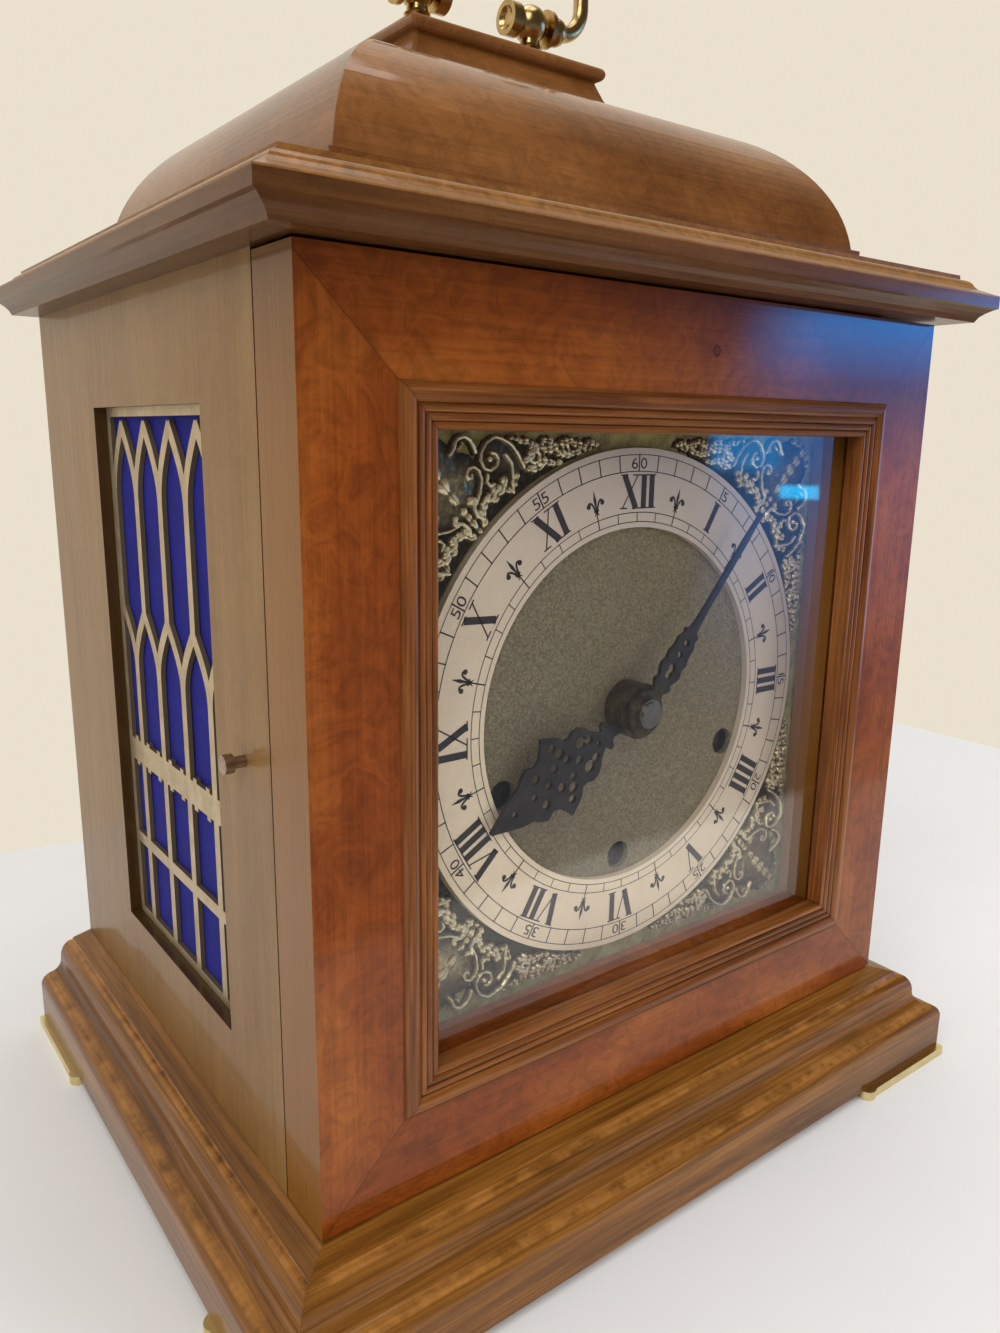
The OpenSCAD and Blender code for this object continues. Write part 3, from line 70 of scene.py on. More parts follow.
# Material tools. In the functions below, s is the material or the world that is being made.
class Nodes:
    """A node tree under construction, with short calls for its nodes."""

    def __init__(self, tree):
        self.tree = tree

    def node(self, kind, _out=0, **settings):
        """A new node's output. iNAME and iNUMBER set or link an input, and other names set a property."""
        node = self.tree.nodes.new("ShaderNode" + kind)
        for key, value in settings.items():
            if key.startswith("i"):
                slot = int(key[1:]) if key[1:].isdigit() else key[1:]
                if isinstance(value, bpy.types.NodeSocket):
                    self.tree.links.new(value, node.inputs[slot])
                else:
                    node.inputs[slot].default_value = value
            else:
                setattr(node, key, value)
        return node.outputs[_out]

    def math(self, operation, a, b=0.0, c=0.0):
        return self.node("Math", operation=operation, i0=a, i1=b, i2=c)

    def times(self, a, b):
        return self.math("MULTIPLY", a, b)

    def vector_math(self, operation, a, b=(0, 0, 0)):
        return self.node("VectorMath", operation=operation, i0=a, i1=b)

    def place(self):
        """The place on the object in mm."""
        return self.vector_math("MULTIPLY", self.node("TexCoord", 3), (1000, 1000, 1000))

    def split(self, vector):
        node = self.tree.nodes.new("ShaderNodeSeparateXYZ")
        self.tree.links.new(vector, node.inputs[0])
        return node.outputs

    def join(self, x, y, z):
        return self.node("CombineXYZ", i0=x, i1=y, i2=z)

    def length(self, x, z):
        """Distance from the y axis."""
        return self.node("VectorMath", 1, operation="LENGTH", i0=self.join(x, 0.0, z))

    def span(self, value, low, high, out_low=0.0, out_high=1.0):
        """value from low to high carried over to out_low to out_high, and held there beyond."""
        ends = {"iFrom Min": low, "iFrom Max": high, "iTo Min": out_low, "iTo Max": out_high}
        return self.node("MapRange", iValue=value, **ends)

    def band(self, value, centre, half, soft):
        """1 where value is within half of centre, falling to 0 over soft."""
        away = self.math("ABSOLUTE", self.math("SUBTRACT", value, centre))
        return self.span(away, half, half + soft, 1.0, 0.0)

    def noise(self, vector, scale, detail=4.0, rough=0.55, bend=0.0):
        look = {"iDetail": detail, "iRoughness": rough, "iDistortion": bend}
        return self.node("TexNoise", iVector=vector, iScale=scale, **look)

    def ramp(self, value, *stops):
        """A colour or a number for each stop of value."""
        node = self.tree.nodes.new("ShaderNodeValToRGB")
        marks = node.color_ramp.elements
        while len(marks) < len(stops):
            marks.new(0.5)
        for mark, (place, tone) in zip(marks, stops):
            mark.position = place
            mark.color = (*tone, 1) if isinstance(tone, tuple) else (tone, tone, tone, 1)
        self.tree.links.new(value, node.inputs[0])
        return node.outputs[0]

    def mix(self, share, first, second, how="MIX"):
        node = self.tree.nodes.new("ShaderNodeMix")
        node.data_type = "RGBA"
        node.blend_type = how
        for slot, value in ((0, share), (6, first), (7, second)):
            if isinstance(value, bpy.types.NodeSocket):
                self.tree.links.new(value, node.inputs[slot])
            else:
                node.inputs[slot].default_value = (*value, 1) if isinstance(value, tuple) else value
        return node.outputs[2]

    def from_centre(self, z):
        """Height above the hands' centre."""
        return self.math("SUBTRACT", z, CENTRE_Z / MM)

    def sideways(self):
        """1 on the faces that look to the left or right of their own body."""
        return self.math("GREATER_THAN", self.math("ABSOLUTE", self.split(self.node("TexCoord", 1))[0]), 0.7)


class Shade(Nodes):
    """A material with one Principled shader. base sets plain values of its inputs."""

    def __init__(self, name, **base):
        self.material = bpy.data.materials.new(name)
        self.material.use_nodes = True
        super().__init__(self.material.node_tree)
        self.principled = self.tree.nodes["Principled BSDF"]
        for key, value in base.items():
            self.principled.inputs[key.replace("_", " ")].default_value = value

    def set(self, name, value):
        if isinstance(value, bpy.types.NodeSocket):
            self.tree.links.new(value, self.principled.inputs[name])
        else:
            self.principled.inputs[name].default_value = value
        return self

    def bump(self, height, strength, distance):
        self.set("Normal", self.node("Bump", iHeight=height, iStrength=strength, iDistance=distance))
        return self

    def output_mix(self, share, kind):
        """Mix the surface with a share of another shader, which is returned for its inputs to be set."""
        out = next(node for node in self.tree.nodes if node.type == "OUTPUT_MATERIAL")
        surface = out.inputs[0].links[0].from_socket
        both = self.tree.nodes.new("ShaderNodeMixShader")
        other = self.tree.nodes.new("ShaderNode" + kind)
        self.tree.links.new(share, both.inputs[0])
        self.tree.links.new(surface, both.inputs[1])
        self.tree.links.new(other.outputs[0], both.inputs[2])
        self.tree.links.new(both.outputs[0], out.inputs[0])
        return other


def scaled(colour, factor):
    return tuple(part * factor for part in colour)


def fibre_axes(s, x, y, z, grain):
    """Coordinates along the fibres, across them and through them."""
    if grain == "mitre":
        up = s.from_centre(z)
        stile = s.math("GREATER_THAN", past_mitre(s, x, up), 0.0)
        outward = s.math("ADD", s.math("ABSOLUTE", x), s.times(s.math("SIGN", x), 40.0))
        return s.mix(stile, x, z), s.mix(stile, s.math("ADD", z, 300.0), outward), y
    if grain == "plan":
        out = s.math("SUBTRACT", s.math("ABSOLUTE", x), HALF)
        side = s.math("GREATER_THAN", s.math("ADD", out, y), FRONT / MM)
        return s.mix(side, x, y), s.mix(side, y, s.math("ADD", x, 500.0)), z
    return {"x": (x, y, z), "y": (y, x, z), "z": (z, x, y)}[grain]


def past_mitre(s, x, up):
    """0 on the lines where the door's rails meet its stiles, above 0 on the stiles."""
    return s.math("SUBTRACT", s.math("ABSOLUTE", x), s.math("ABSOLUTE", up))


def wood(name, dark, mid, light, grain="x", figure=0.5, streak=0.5, scale=1.0, rough=0.32, coat=0.6,
         mottle=0.6, edge=None, painted_reveal_shade=False, upper=None, worn=(), wear=0.5, plug=None, seed=0.0):
    """Polished wood in real sizes, from a dark, a middle and a light tone.

    grain is the axis that the fibres follow. "mitre" turns it round the dial, "plan" along the sides.
    figure is the share of swirl, mottle that of blotches on it, and streak that of dark pores.
    edge is the colour of the faces that look sideways. painted_reveal_shade paints shade on all the other
    faces.
    upper is a height in mm and the tone above it. plug is the place of a filled nail hole.
    worn lists rubbed edges as a height and a half width in mm, and wear says how much.
    """
    s = Shade(name, Coat_Weight=coat, Coat_Roughness=0.07, Coat_IOR=1.5, Specular_IOR_Level=0.12)
    place = s.place()
    x, y, z = s.split(place)
    along, across, through = fibre_axes(s, x, y, z, grain)
    stretched = s.join(s.times(along, 0.045), across, through)
    stretched = s.vector_math("ADD", stretched, (seed, seed * 1.7, seed * 0.6))
    shifted = s.vector_math("ADD", s.join(along, across, through), (seed * 9, 0, 0))
    swirl = s.noise(s.vector_math("MULTIPLY", shifted, (0.5, 1, 1)), 0.03 * scale, 3.0)
    grainy = s.noise(stretched, 0.16 * scale, 5.0, 0.6, 1.2)
    fine = s.noise(s.vector_math("MULTIPLY", stretched, (0.5, 1, 1)), 0.9 * scale, 3.0, 0.65)
    blotch = s.noise(s.join(along, across, through), 0.09 * scale, 4.0, 0.7, 2.5)
    tone = s.math("ADD", s.times(grainy, 1 - figure), s.times(swirl, figure))
    pores = s.ramp(fine, (0.42, 0.0), (0.56, 1.0))
    colour = s.ramp(tone, (0.30, dark), (0.5, mid), (0.68, light))
    colour = s.mix(streak, colour, s.mix(pores, scaled(dark, 0.42), (1.0, 1.0, 1.0)), "MULTIPLY")
    colour = s.mix(figure * mottle, colour, s.ramp(blotch, (0.35, 0.45), (0.6, 1.25)), "MULTIPLY")
    if edge:
        colour = s.mix(s.sideways(), colour, s.mix(grainy, scaled(edge, 0.8), scaled(edge, 1.2)))
    # Painted shade on every face that does not look sideways, such as the sides of openings
    if painted_reveal_shade:
        colour = s.mix(s.sideways(), scaled(dark, 0.3), colour)
    if upper:
        above = s.math("GREATER_THAN", z, upper[0])
        colour = s.mix(s.times(above, s.ramp(blotch, (0.3, 1.0), (0.62, 0.35))), colour, upper[1])
    for level, half in worn:
        patchy = s.ramp(s.noise(place, 0.12, 4.0, 0.7), (0.38, 0.1 * wear), (0.62, wear))
        rub = s.times(s.band(z, level, half, half * 1.2), patchy)
        colour = s.mix(rub, colour, tuple(min(1, part * 1.7 + 0.02) for part in light))
    # Rails, stiles and beads get a dark line at each mitre and painted shade under the cornice
    if grain == "mitre":
        colour = mitre_line_and_painted_shade(s, x, s.from_centre(z), colour, dark, mid)
    if plug:
        away = s.length(s.math("SUBTRACT", x, plug[0]), s.math("SUBTRACT", s.from_centre(z), plug[1]))
        colour = s.mix(s.band(away, 1.3, 0.2, 0.25), colour, scaled(dark, 0.3))
        colour = s.mix(s.math("LESS_THAN", away, 1.1), colour, scaled(dark, 0.8))
    s.set("Base Color", colour)
    s.set("Roughness", s.math("ADD", s.times(fine, 0.14), rough - 0.07))
    return s.bump(s.math("ADD", s.times(pores, 0.6), s.times(blotch, 0.8)), 0.12, 0.0004).material


def mitre_line_and_painted_shade(s, x, up, colour, dark, mid):
    """A fine dark line at each mitre, and painted shade under the cornice, most of all to the right."""
    line = s.band(past_mitre(s, x, up), 0.0, 0.18, 0.25)
    colour = s.mix(s.times(line, 0.4), colour, scaled(dark, 0.3))
    # Painted shade: darker under the cornice, and more so towards the top right
    under = s.span(up, 78.0, 116.0, 0.0, 0.32)
    right = s.times(s.span(up, 66.0, 100.0), s.span(x, -50.0, 70.0, 0.0, 0.5))
    return s.mix(s.math("ADD", under, right), colour, scaled(mid, 0.12))


def metal(name, colour, tarnish_and_shade, rough=0.25, tarnish=0.5, metallic=1.0):
    """Metal with clouded tarnish, fine handling scratches and a soft bump."""
    s = Shade(name, Metallic=metallic)
    place = s.place()
    cloud = s.noise(place, 0.12, 5.0, 0.65, 0.6)
    fine = s.noise(place, 3.2, 3.0, 0.7)
    s.set("Base Color", s.mix(s.times(s.ramp(cloud, (0.38, 0.0), (0.66, 1.0)), tarnish), colour, tarnish_and_shade))
    base = s.math("ADD", s.times(cloud, 0.22), rough - 0.1)
    s.set("Roughness", s.math("ADD", base, s.times(fine, 0.08)))
    return s.bump(fine, 0.15, 0.0003).material


# Materials. The nail hole's place is in mm from the hands' centre.
NAIL_HOLE = (10.2, 107.1)
door_wood = wood("door_veneer", (0.13, 0.024, 0.003), (0.25, 0.055, 0.006), (0.37, 0.105, 0.014), "mitre",
                 figure=0.75, streak=0.12, rough=0.3, coat=0.42, edge=(0.238, 0.094, 0.012),
                 plug=NAIL_HOLE, seed=3.0)
side_wood = wood("side_veneer", (0.19, 0.090, 0.022), (0.25, 0.128, 0.036), (0.30, 0.160, 0.050), "z",
                 streak=0.06, rough=0.36, coat=0.32, mottle=0.25, painted_reveal_shade=True, seed=11.0)
back_wood = wood("back_wood", (0.17, 0.080, 0.020), (0.24, 0.120, 0.033), (0.29, 0.152, 0.047), "z",
                 figure=0.4, streak=0.15, rough=0.4, coat=0.25, mottle=0.3, seed=15.0)
bead_wood = wood("bead_wood", (0.10, 0.028, 0.005), (0.23, 0.072, 0.014), (0.34, 0.122, 0.028), "mitre",
                 figure=0.12, streak=0.35, scale=1.2, coat=0.5, seed=5.0)
base_wood = wood("plinth_wood", (0.12, 0.042, 0.006), (0.24, 0.090, 0.012), (0.35, 0.145, 0.024), "plan",
                 figure=0.12, streak=0.35, scale=1.1, coat=0.4, seed=7.0,
                 worn=((NOSE + 4.2, 0.4), (NOSE + 16.4, 0.35)), wear=0.45)
cornice_wood = wood("cornice_wood", (0.060, 0.021, 0.006), (0.11, 0.041, 0.011), (0.16, 0.066, 0.019), "plan",
                    figure=0.3, streak=0.12, coat=0.28, upper=(CORNICE + 8.0, (0.34, 0.145, 0.034)), seed=9.0,
                    worn=((CORNICE + 8.6, 0.4), (CORNICE + 13.4, 0.35)), wear=0.6)
caddy_wood = wood("caddy_wood", (0.13, 0.042, 0.008), (0.22, 0.080, 0.018), (0.30, 0.120, 0.032), "plan",
                  figure=0.8, streak=0.12, coat=0.55, mottle=0.45, seed=13.0)
inner_wood = wood("inner_wood", (0.04, 0.016, 0.007), (0.09, 0.035, 0.014), (0.14, 0.06, 0.025),
                  figure=0.2, rough=0.45, coat=0.2, seed=17.0)
surround_wood = wood("surround_wood", (0.022, 0.008, 0.004), (0.045, 0.017, 0.008), (0.075, 0.030, 0.013),
                     figure=0.2, streak=0.4, rough=0.45, coat=0.2, seed=19.0)
polished = metal("polished_brass", (0.62, 0.45, 0.20), (0.26, 0.17, 0.07), 0.16, 0.6)
feet_brass = metal("feet_brass", (0.80, 0.66, 0.34), (0.56, 0.42, 0.18), 0.26, 0.4)
hinge_brass = metal("hinge_brass", (0.66, 0.46, 0.17), (0.30, 0.18, 0.07), 0.26, 0.6)
train_brass = metal("movement_brass", (0.72, 0.52, 0.20), (0.46, 0.30, 0.11), 0.22, 0.35)
button_metal = metal("button_brass", (0.48, 0.36, 0.29), (0.20, 0.12, 0.09), 0.28, 0.55)
steel = metal("movement_steel", (0.34, 0.34, 0.36), (0.16, 0.155, 0.15), 0.24, 0.4)
# Painted shade: the winding arbors are near-black and the front plate a darker brass, so that the winding
# holes look dark inside
shade_black_steel = metal("arbor_steel", (0.05, 0.05, 0.055), (0.02, 0.02, 0.02), 0.4, 0.5, metallic=0.6)
shade_dark_plate_brass = metal("plate_brass", (0.34, 0.25, 0.10), (0.16, 0.11, 0.045), 0.4, 0.6)
nut_metal = metal("nut_steel", (0.40, 0.37, 0.29), (0.24, 0.22, 0.17), 0.24, 0.5)
iron = metal("block_iron", (0.035, 0.033, 0.032), (0.07, 0.06, 0.05), 0.6, metallic=0.3)


def fret_material():
    """Pale brass on the face, and painted shade in dark brown on the sides inside the sawn openings."""
    s = Shade("fret_brass")
    place = s.place()
    cloud = s.noise(place, 0.12, 5.0, 0.65, 0.6)
    fine = s.noise(place, 3.0, 3.0, 0.7)
    face = s.sideways()
    bright = s.mix(s.ramp(cloud, (0.38, 0.0), (0.66, 1.0)), (0.62, 0.50, 0.33), (0.48, 0.37, 0.22))
    # Painted shade: the sides inside the sawn openings are dark brown
    s.set("Base Color", s.mix(face, (0.11, 0.08, 0.045), bright))
    s.set("Metallic", s.times(face, 0.7))
    s.set("Roughness", s.math("ADD", s.times(fine, 0.12), 0.36))
    return s.bump(fine, 0.2, 0.0003).material


def hand_material():
    """Black hands, with a dark bronze boss."""
    s = Shade("dark_steel", Specular_IOR_Level=0.35)
    place = s.place()
    x, _, z = s.split(place)
    boss = s.math("LESS_THAN", s.length(x, s.from_centre(z)), BOSS_R)
    cloud = s.ramp(s.noise(place, 0.3, 4.0, 0.65), (0.35, 0.0), (0.65, 1.0))
    fine = s.noise(place, 2.6, 3.0, 0.7)
    black = s.mix(cloud, (0.006, 0.005, 0.005), (0.030, 0.025, 0.020))
    bronze = s.mix(cloud, (0.040, 0.030, 0.016), (0.15, 0.11, 0.05))
    s.set("Base Color", s.mix(boss, black, bronze))
    s.set("Metallic", s.times(boss, 0.8))
    s.set("Roughness", s.math("ADD", s.times(fine, 0.2), 0.26))
    return s.bump(fine, 0.3, 0.0003).material


def dial_material():
    """Matted olive-gold centre and polished yellow-green brass outside it."""
    s = Shade("dial_brass")
    place = s.place()
    x, _, z = s.split(place)
    centre = s.math("LESS_THAN", s.length(x, s.from_centre(z)), MATT_R)
    speck = s.noise(place, 1.5, 4.0, 0.8)
    cloud = s.noise(place, 0.02, 3.0, 0.5)
    matt = s.mix(s.ramp(speck, (0.40, 0.0), (0.72, 1.0)), (0.19, 0.155, 0.09), (0.66, 0.56, 0.34))
    matt = s.mix(s.times(cloud, 0.5), matt, (0.37, 0.31, 0.185))
    patch = s.ramp(s.noise(place, 0.12, 5.0, 0.7), (0.35, 0.0), (0.6, 1.0))
    s.set("Base Color", s.mix(centre, s.mix(patch, (0.30, 0.25, 0.09), (0.66, 0.60, 0.22)), matt))
    s.set("Metallic", s.span(centre, 0.0, 1.0, 0.45, 0.55))
    s.set("Roughness", s.span(centre, 0.0, 1.0, 0.26, 0.45))
    return s.bump(speck, 0.9, 0.0008).material


def silver_material():
    """Silvered brass, warm at the lower left, with painted shade that darkens it to the top and right."""
    s = Shade("silvered_ring", Metallic=0.12)
    place = s.place()
    x, _, z = s.split(place)
    cloud = s.noise(place, 0.035, 5.0, 0.6, 0.8)
    fine = s.noise(place, 1.2, 4.0, 0.7)
    # Painted shade: the ring darkens towards the top and right
    tarnish_and_shade = s.span(s.math("ADD", s.times(x, 0.7), s.from_centre(z)), -60.0, 75.0)
    colour = s.mix(s.ramp(cloud, (0.35, 0.0), (0.7, 1.0)), (0.84, 0.68, 0.47), (0.92, 0.77, 0.55))
    colour = s.mix(tarnish_and_shade, colour, (0.53, 0.435, 0.345))
    colour = s.mix(s.times(s.ramp(fine, (0.45, 0.0), (0.75, 1.0)), 0.2), colour, (0.52, 0.42, 0.33))
    s.set("Base Color", colour)
    s.set("Roughness", s.math("ADD", s.times(fine, 0.16), 0.30))
    return s.bump(fine, 0.12, 0.0002).material


def cast_material():
    """Cast brass by height: near-black in the hollows as patina and painted shade, dark bronze on swellings,
    and bright gold on rims and leaf tips as painted highlight.
    """
    s = Shade("cast_brass")
    place = s.place()
    up = s.span(s.split(place)[1], PLATE_Y / MM, PLATE_Y / MM - RELIEF)
    cloud = s.noise(place, 0.5, 4.0, 0.7)
    height = s.math("ADD", up, s.times(s.math("SUBTRACT", cloud, 0.5), 0.35))
    # Painted shade in the hollows, on top of their patina, and painted highlight on the highest rims and leaf
    # tips
    hollow_patina_and_shade, low, swelling = (0.022, 0.018, 0.010), (0.10, 0.085, 0.050), (0.26, 0.21, 0.11)
    gold, tip_highlight = (0.84, 0.68, 0.34), (1.0, 0.92, 0.64)
    colour = s.ramp(height, (0.14, hollow_patina_and_shade), (0.34, low), (0.56, swelling), (0.68, gold), (0.84, tip_highlight))
    s.set("Base Color", colour)
    s.set("Roughness", s.ramp(height, (0.2, 0.40), (0.7, 0.20)))
    s.set("Metallic", s.ramp(height, (0.5, 0.92), (0.74, 0.62)))
    return s.bump(s.noise(place, 1.3, 3.0, 0.7), 0.12, 0.0003).material


def ink_material():
    """Black wax in the engraving."""
    s = Shade("dial_black")
    fine = s.noise(s.place(), 1.4, 3.0, 0.7)
    s.set("Base Color", s.mix(fine, (0.010, 0.009, 0.010), (0.050, 0.038, 0.034)))
    s.set("Roughness", s.math("ADD", s.times(fine, 0.2), 0.35))
    return s.material


def cloth_material():
    """Royal-blue woven cloth."""
    s = Shade("fret_cloth", Sheen_Weight=0.05, Sheen_Roughness=0.4, Specular_IOR_Level=0.12)
    place = s.place()
    _, y, z = s.split(place)
    threads = [s.join(v, 0.0, 0.0) for v in (y, z)]
    weave = s.times(*[s.node("TexWave", 1, iVector=v, iScale=1.05, bands_direction="X") for v in threads])
    fuzz = s.noise(place, 0.08, 4.0, 0.6)
    colour = s.mix(s.ramp(fuzz, (0.35, 0.0), (0.7, 1.0)), (0.006, 0.007, 0.16), (0.013, 0.013, 0.27))
    s.set("Base Color", s.mix(s.times(weave, 0.5), colour, (0.022, 0.022, 0.38)))
    s.set("Roughness", s.math("ADD", s.times(fuzz, 0.2), 0.6))
    return s.bump(weave, 0.5, 0.0003).material


def glass_material():
    """Clear pane: see-through face on, mirror-like at a low angle, and the same from inside and outside."""
    s = Shade("glass", Base_Color=(1, 1, 1, 1), Metallic=1.0)
    smear = s.node("TexNoise", iScale=18.0)
    ratio = s.span(s.node("NewGeometry", "Backfacing"), 0.0, 1.0, 1.5, 1 / 1.5)
    s.set("Roughness", s.span(smear, 0.0, 1.0, 0.0, 0.035))
    return s.set("Alpha", s.node("Fresnel", iIOR=ratio)).material


def give(material, *names):
    """Put a material on the solids of some nodes."""
    for name in names:
        data = NODES[name].data
        data.materials.clear()
        data.materials.append(material)


give(base_wood, "base_board", "base_moulding")
give(side_wood, "case_side_left", "case_side_right")
give(back_wood, "back_door")
give(door_wood, "door_frame")
give(bead_wood, "glazing_bead")
give(cornice_wood, "cornice_moulding")
give(caddy_wood, "caddy_plate", "caddy_dome", "top_pedestal")
give(inner_wood, "case_top", "seat_board", "back_door_stops")
give(surround_wood, "dial_surround")
give(polished, "handle_posts", "handle_bail")
give(feet_brass, "bracket_feet")
give(hinge_brass, "case_hinge_leaves", "front_door_hinge_leaves", "door_catch_pin", "back_door_hinge_leaves",
     "back_door_knob")
give(button_metal, "door_release_button")
give(fret_material(), "side_frets")
give(dial_material(), "dial_plate")
give(silver_material(), "chapter_ring")
give(nut_metal, "hand_nut")
give(iron, "chime_block")
give(steel, "pallet_lever", "hammer_arbor", "chime_rods")
give(shade_black_steel, "time_winding_arbor", "strike_winding_arbor", "chime_winding_arbor")
give(shade_dark_plate_brass, "front_plate")
give(train_brass, "cannon_pinion", "minute_wheel", "hour_wheel", "back_plate", "plate_pillars", "time_barrel",
     "strike_barrel", "chime_barrel", "second_wheel", "centre_wheel", "third_wheel", "escape_wheel",
     "balance_wheel", "balance_cock", "chime_drum", "chime_hammer_1", "chime_hammer_2", "chime_hammer_3",
     "chime_hammer_4")
give(hand_material(), "hour_hand", "minute_hand")
give(glass_material(), "door_glass")
cast_brass = cast_material()
ink = ink_material()


def mesh_object(name, verts, faces, material, body, slot, smooth=False):
    """A piece of the scene that rides on a body."""
    data = bpy.data.meshes.new(name)
    data.from_pydata([tuple(v) for v in verts], [], faces)
    data.materials.append(material)
    if smooth:
        data.shade_smooth()
    obj = bpy.data.objects.new(name, data)
    bpy.context.scene.collection.objects.link(obj)
    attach(obj, body)
    return obj


# Marks on the chapter ring in mm, drawn at the top, with z from the hands' centre, and turned to their angle
INK_LIFT = 0.05
TRACK_IN, TRACK_OUT = RING_R * 0.914, RING_R * 0.975
QUARTER_IN, QUARTER_OUT = RING_R * 0.727, RING_R * 0.762
ROMAN_LOW, ROMAN_HIGH = QUARTER_OUT + 1.3, TRACK_IN - 1.1
ROMAN = ("XII", "I", "II", "III", "IIII", "V", "VI", "VII", "VIII", "IX", "X", "XI")
ROMAN_WIDTH = {"I": 3.3, "V": 7.8, "X": 8.0}
DIGIT_HIGH = 3.4
DIGIT_WIDER = 1.3


def on_ring(x, z, angle, proud):
    """A point of a mark, turned to its clock angle, proud of the ring by so many mm."""
    cos, sin = math.cos(angle), math.sin(angle)
    return at(x * cos + z * sin, (RING_Y - FRONT) / MM - proud, z * cos - x * sin)


class Marks:
    """Flat marks laid on the ring. lift keeps one that crosses another clear of it."""

    def __init__(self):
        self.points, self.faces = [], []
        self.angle = 0.0
        self.lift = 0.0

    def shape(self, points):
        base = len(self.points)
        self.points += [on_ring(x, z, self.angle, INK_LIFT + self.lift) for x, z in points]
        self.faces.append(tuple(range(base, base + len(points))))

    def line(self, start, end, width, end_width=None):
        """A straight stroke that may widen or narrow."""
        (x0, z0), (x1, z1) = start, end
        length = math.hypot(x1 - x0, z1 - z0)
        out_x, out_z = -(z1 - z0) / length / 2, (x1 - x0) / length / 2
        w0, w1 = width, width if end_width is None else end_width
        self.shape([(x0 + out_x * w0, z0 + out_z * w0), (x0 - out_x * w0, z0 - out_z * w0),
                    (x1 - out_x * w1, z1 - out_z * w1), (x1 + out_x * w1, z1 + out_z * w1)])

    def curve(self, points, widths):
        for i in range(len(points) - 1):
            self.line(points[i], points[i + 1], widths[i], widths[i + 1])

    def disc(self, x, z, r, n=14):
        turns = [2 * math.pi * k / n for k in range(n)]
        self.shape([(x + r * math.cos(t), z + r * math.sin(t)) for t in turns])

    def circle(self, r, w, n=240):
        self.angle = 0.0
        for k in range(n):
            a, b = 2 * math.pi * k / n, 2 * math.pi * (k + 1) / n
            corners = ((a, -w / 2), (b, -w / 2), (b, w / 2), (a, w / 2))
            self.shape([((r + out) * math.cos(t), (r + out) * math.sin(t)) for t, out in corners])


def draw_tracks(marks):
    """Minute track outside, quarter-hour track inside."""
    for r, w in ((TRACK_OUT, 0.26), (TRACK_IN, 0.30), (QUARTER_OUT, 0.26), (QUARTER_IN, 0.26)):
        marks.circle(r, w)
    marks.lift = 0.01
    for k in range(60):
        marks.angle = math.radians(k * 6)
        marks.line((0, TRACK_IN - 0.2), (0, TRACK_OUT + 0.2), 0.42 if k % 5 else 0.5)
    for k in range(48):
        marks.angle = math.radians(k * 7.5)
        marks.line((0, QUARTER_IN), (0, QUARTER_OUT), 0.32)


def draw_letter(marks, letter, x):
    """A Roman letter of thick and thin strokes with serifs, its feet towards the centre."""
    thick, thin, serif = 2.15, 0.45, 0.42
    low, high = ROMAN_LOW, ROMAN_HIGH
    half = ROMAN_WIDTH[letter] / 2
    if letter == "I":
        marks.line((x, low), (x, high), thick)
        for z in (low, high):
            marks.line((x - half, z), (x + half, z), serif)
    if letter == "V":
        marks.line((x - half + 1.4, high), (x + 0.2, low), thick)
        marks.line((x + half - 0.9, high), (x + 0.1, low), thin)
        marks.line((x - half, high), (x - half + 3.0, high), serif)
        marks.line((x + half - 2.4, high), (x + half, high), serif)
    if letter == "X":
        marks.line((x - half + 1.5, high), (x + half - 1.5, low), thick)
        marks.line((x + half - 1.0, high), (x - half + 1.0, low), thin)
        for z in (low, high):
            marks.line((x - half, z), (x - half + 3.0, z), serif)
            marks.line((x + half - 3.0, z), (x + half, z), serif)


def draw_hours(marks):
    """The hours, each word centred on its line."""
    marks.lift = 0.02
    for hour, word in enumerate(ROMAN):
        marks.angle = math.radians(hour * 30)
        x = -sum(ROMAN_WIDTH[c] for c in word) / 2
        for c in word:
            draw_letter(marks, c, x + ROMAN_WIDTH[c] / 2)
            x += ROMAN_WIDTH[c]


def draw_fleurs(marks):
    """Half-hour fleurs-de-lis, standing on the quarter track."""
    marks.lift = 0.0
    mid = QUARTER_OUT + 2.6
    for hour in range(12):
        marks.angle = math.radians(hour * 30 + 15)
        marks.line((0, QUARTER_IN), (0, QUARTER_OUT + 2.4), 0.42)
        marks.curve([(0, mid - 0.4), (0, mid + 1.6), (0, mid + 3.6), (0, mid + 6.3)], [0.8, 0.6, 1.15, 0.1])
        marks.line((-1.0, mid + 0.4), (1.0, mid + 0.4), 0.55)
        for side in (-1, 1):
            petal = [(0.3, 0.0), (0.8, 1.8), (1.5, 3.0), (2.3, 3.4), (2.8, 2.9)]
            marks.curve([(side * x, mid + z) for x, z in petal], [0.55, 0.7, 0.7, 0.6, 0.45])
            marks.disc(side * 2.7, mid + 2.4, 0.8)
            marks.curve([(side * 0.2, mid - 0.1), (side * 0.9, mid - 1.1)], [0.55, 0.2])


def digit_mesh(digit):
    """Points and faces of a plain digit."""
    curve = bpy.data.curves.new("digit", "FONT")
    curve.body = digit
    curve.size = DIGIT_HIGH * 1.38
    curve.resolution_u = 3
    curve.offset = 0.006
    obj = bpy.data.objects.new("digit", curve)
    bpy.context.scene.collection.objects.link(obj)
    data = bpy.data.meshes.new_from_object(obj.evaluated_get(bpy.context.evaluated_depsgraph_get()))
    points = [(vertex.co.x * DIGIT_WIDER, vertex.co.y) for vertex in data.vertices]
    faces = [tuple(face.vertices) for face in data.polygons]
    bpy.data.objects.remove(obj)
    return points, faces


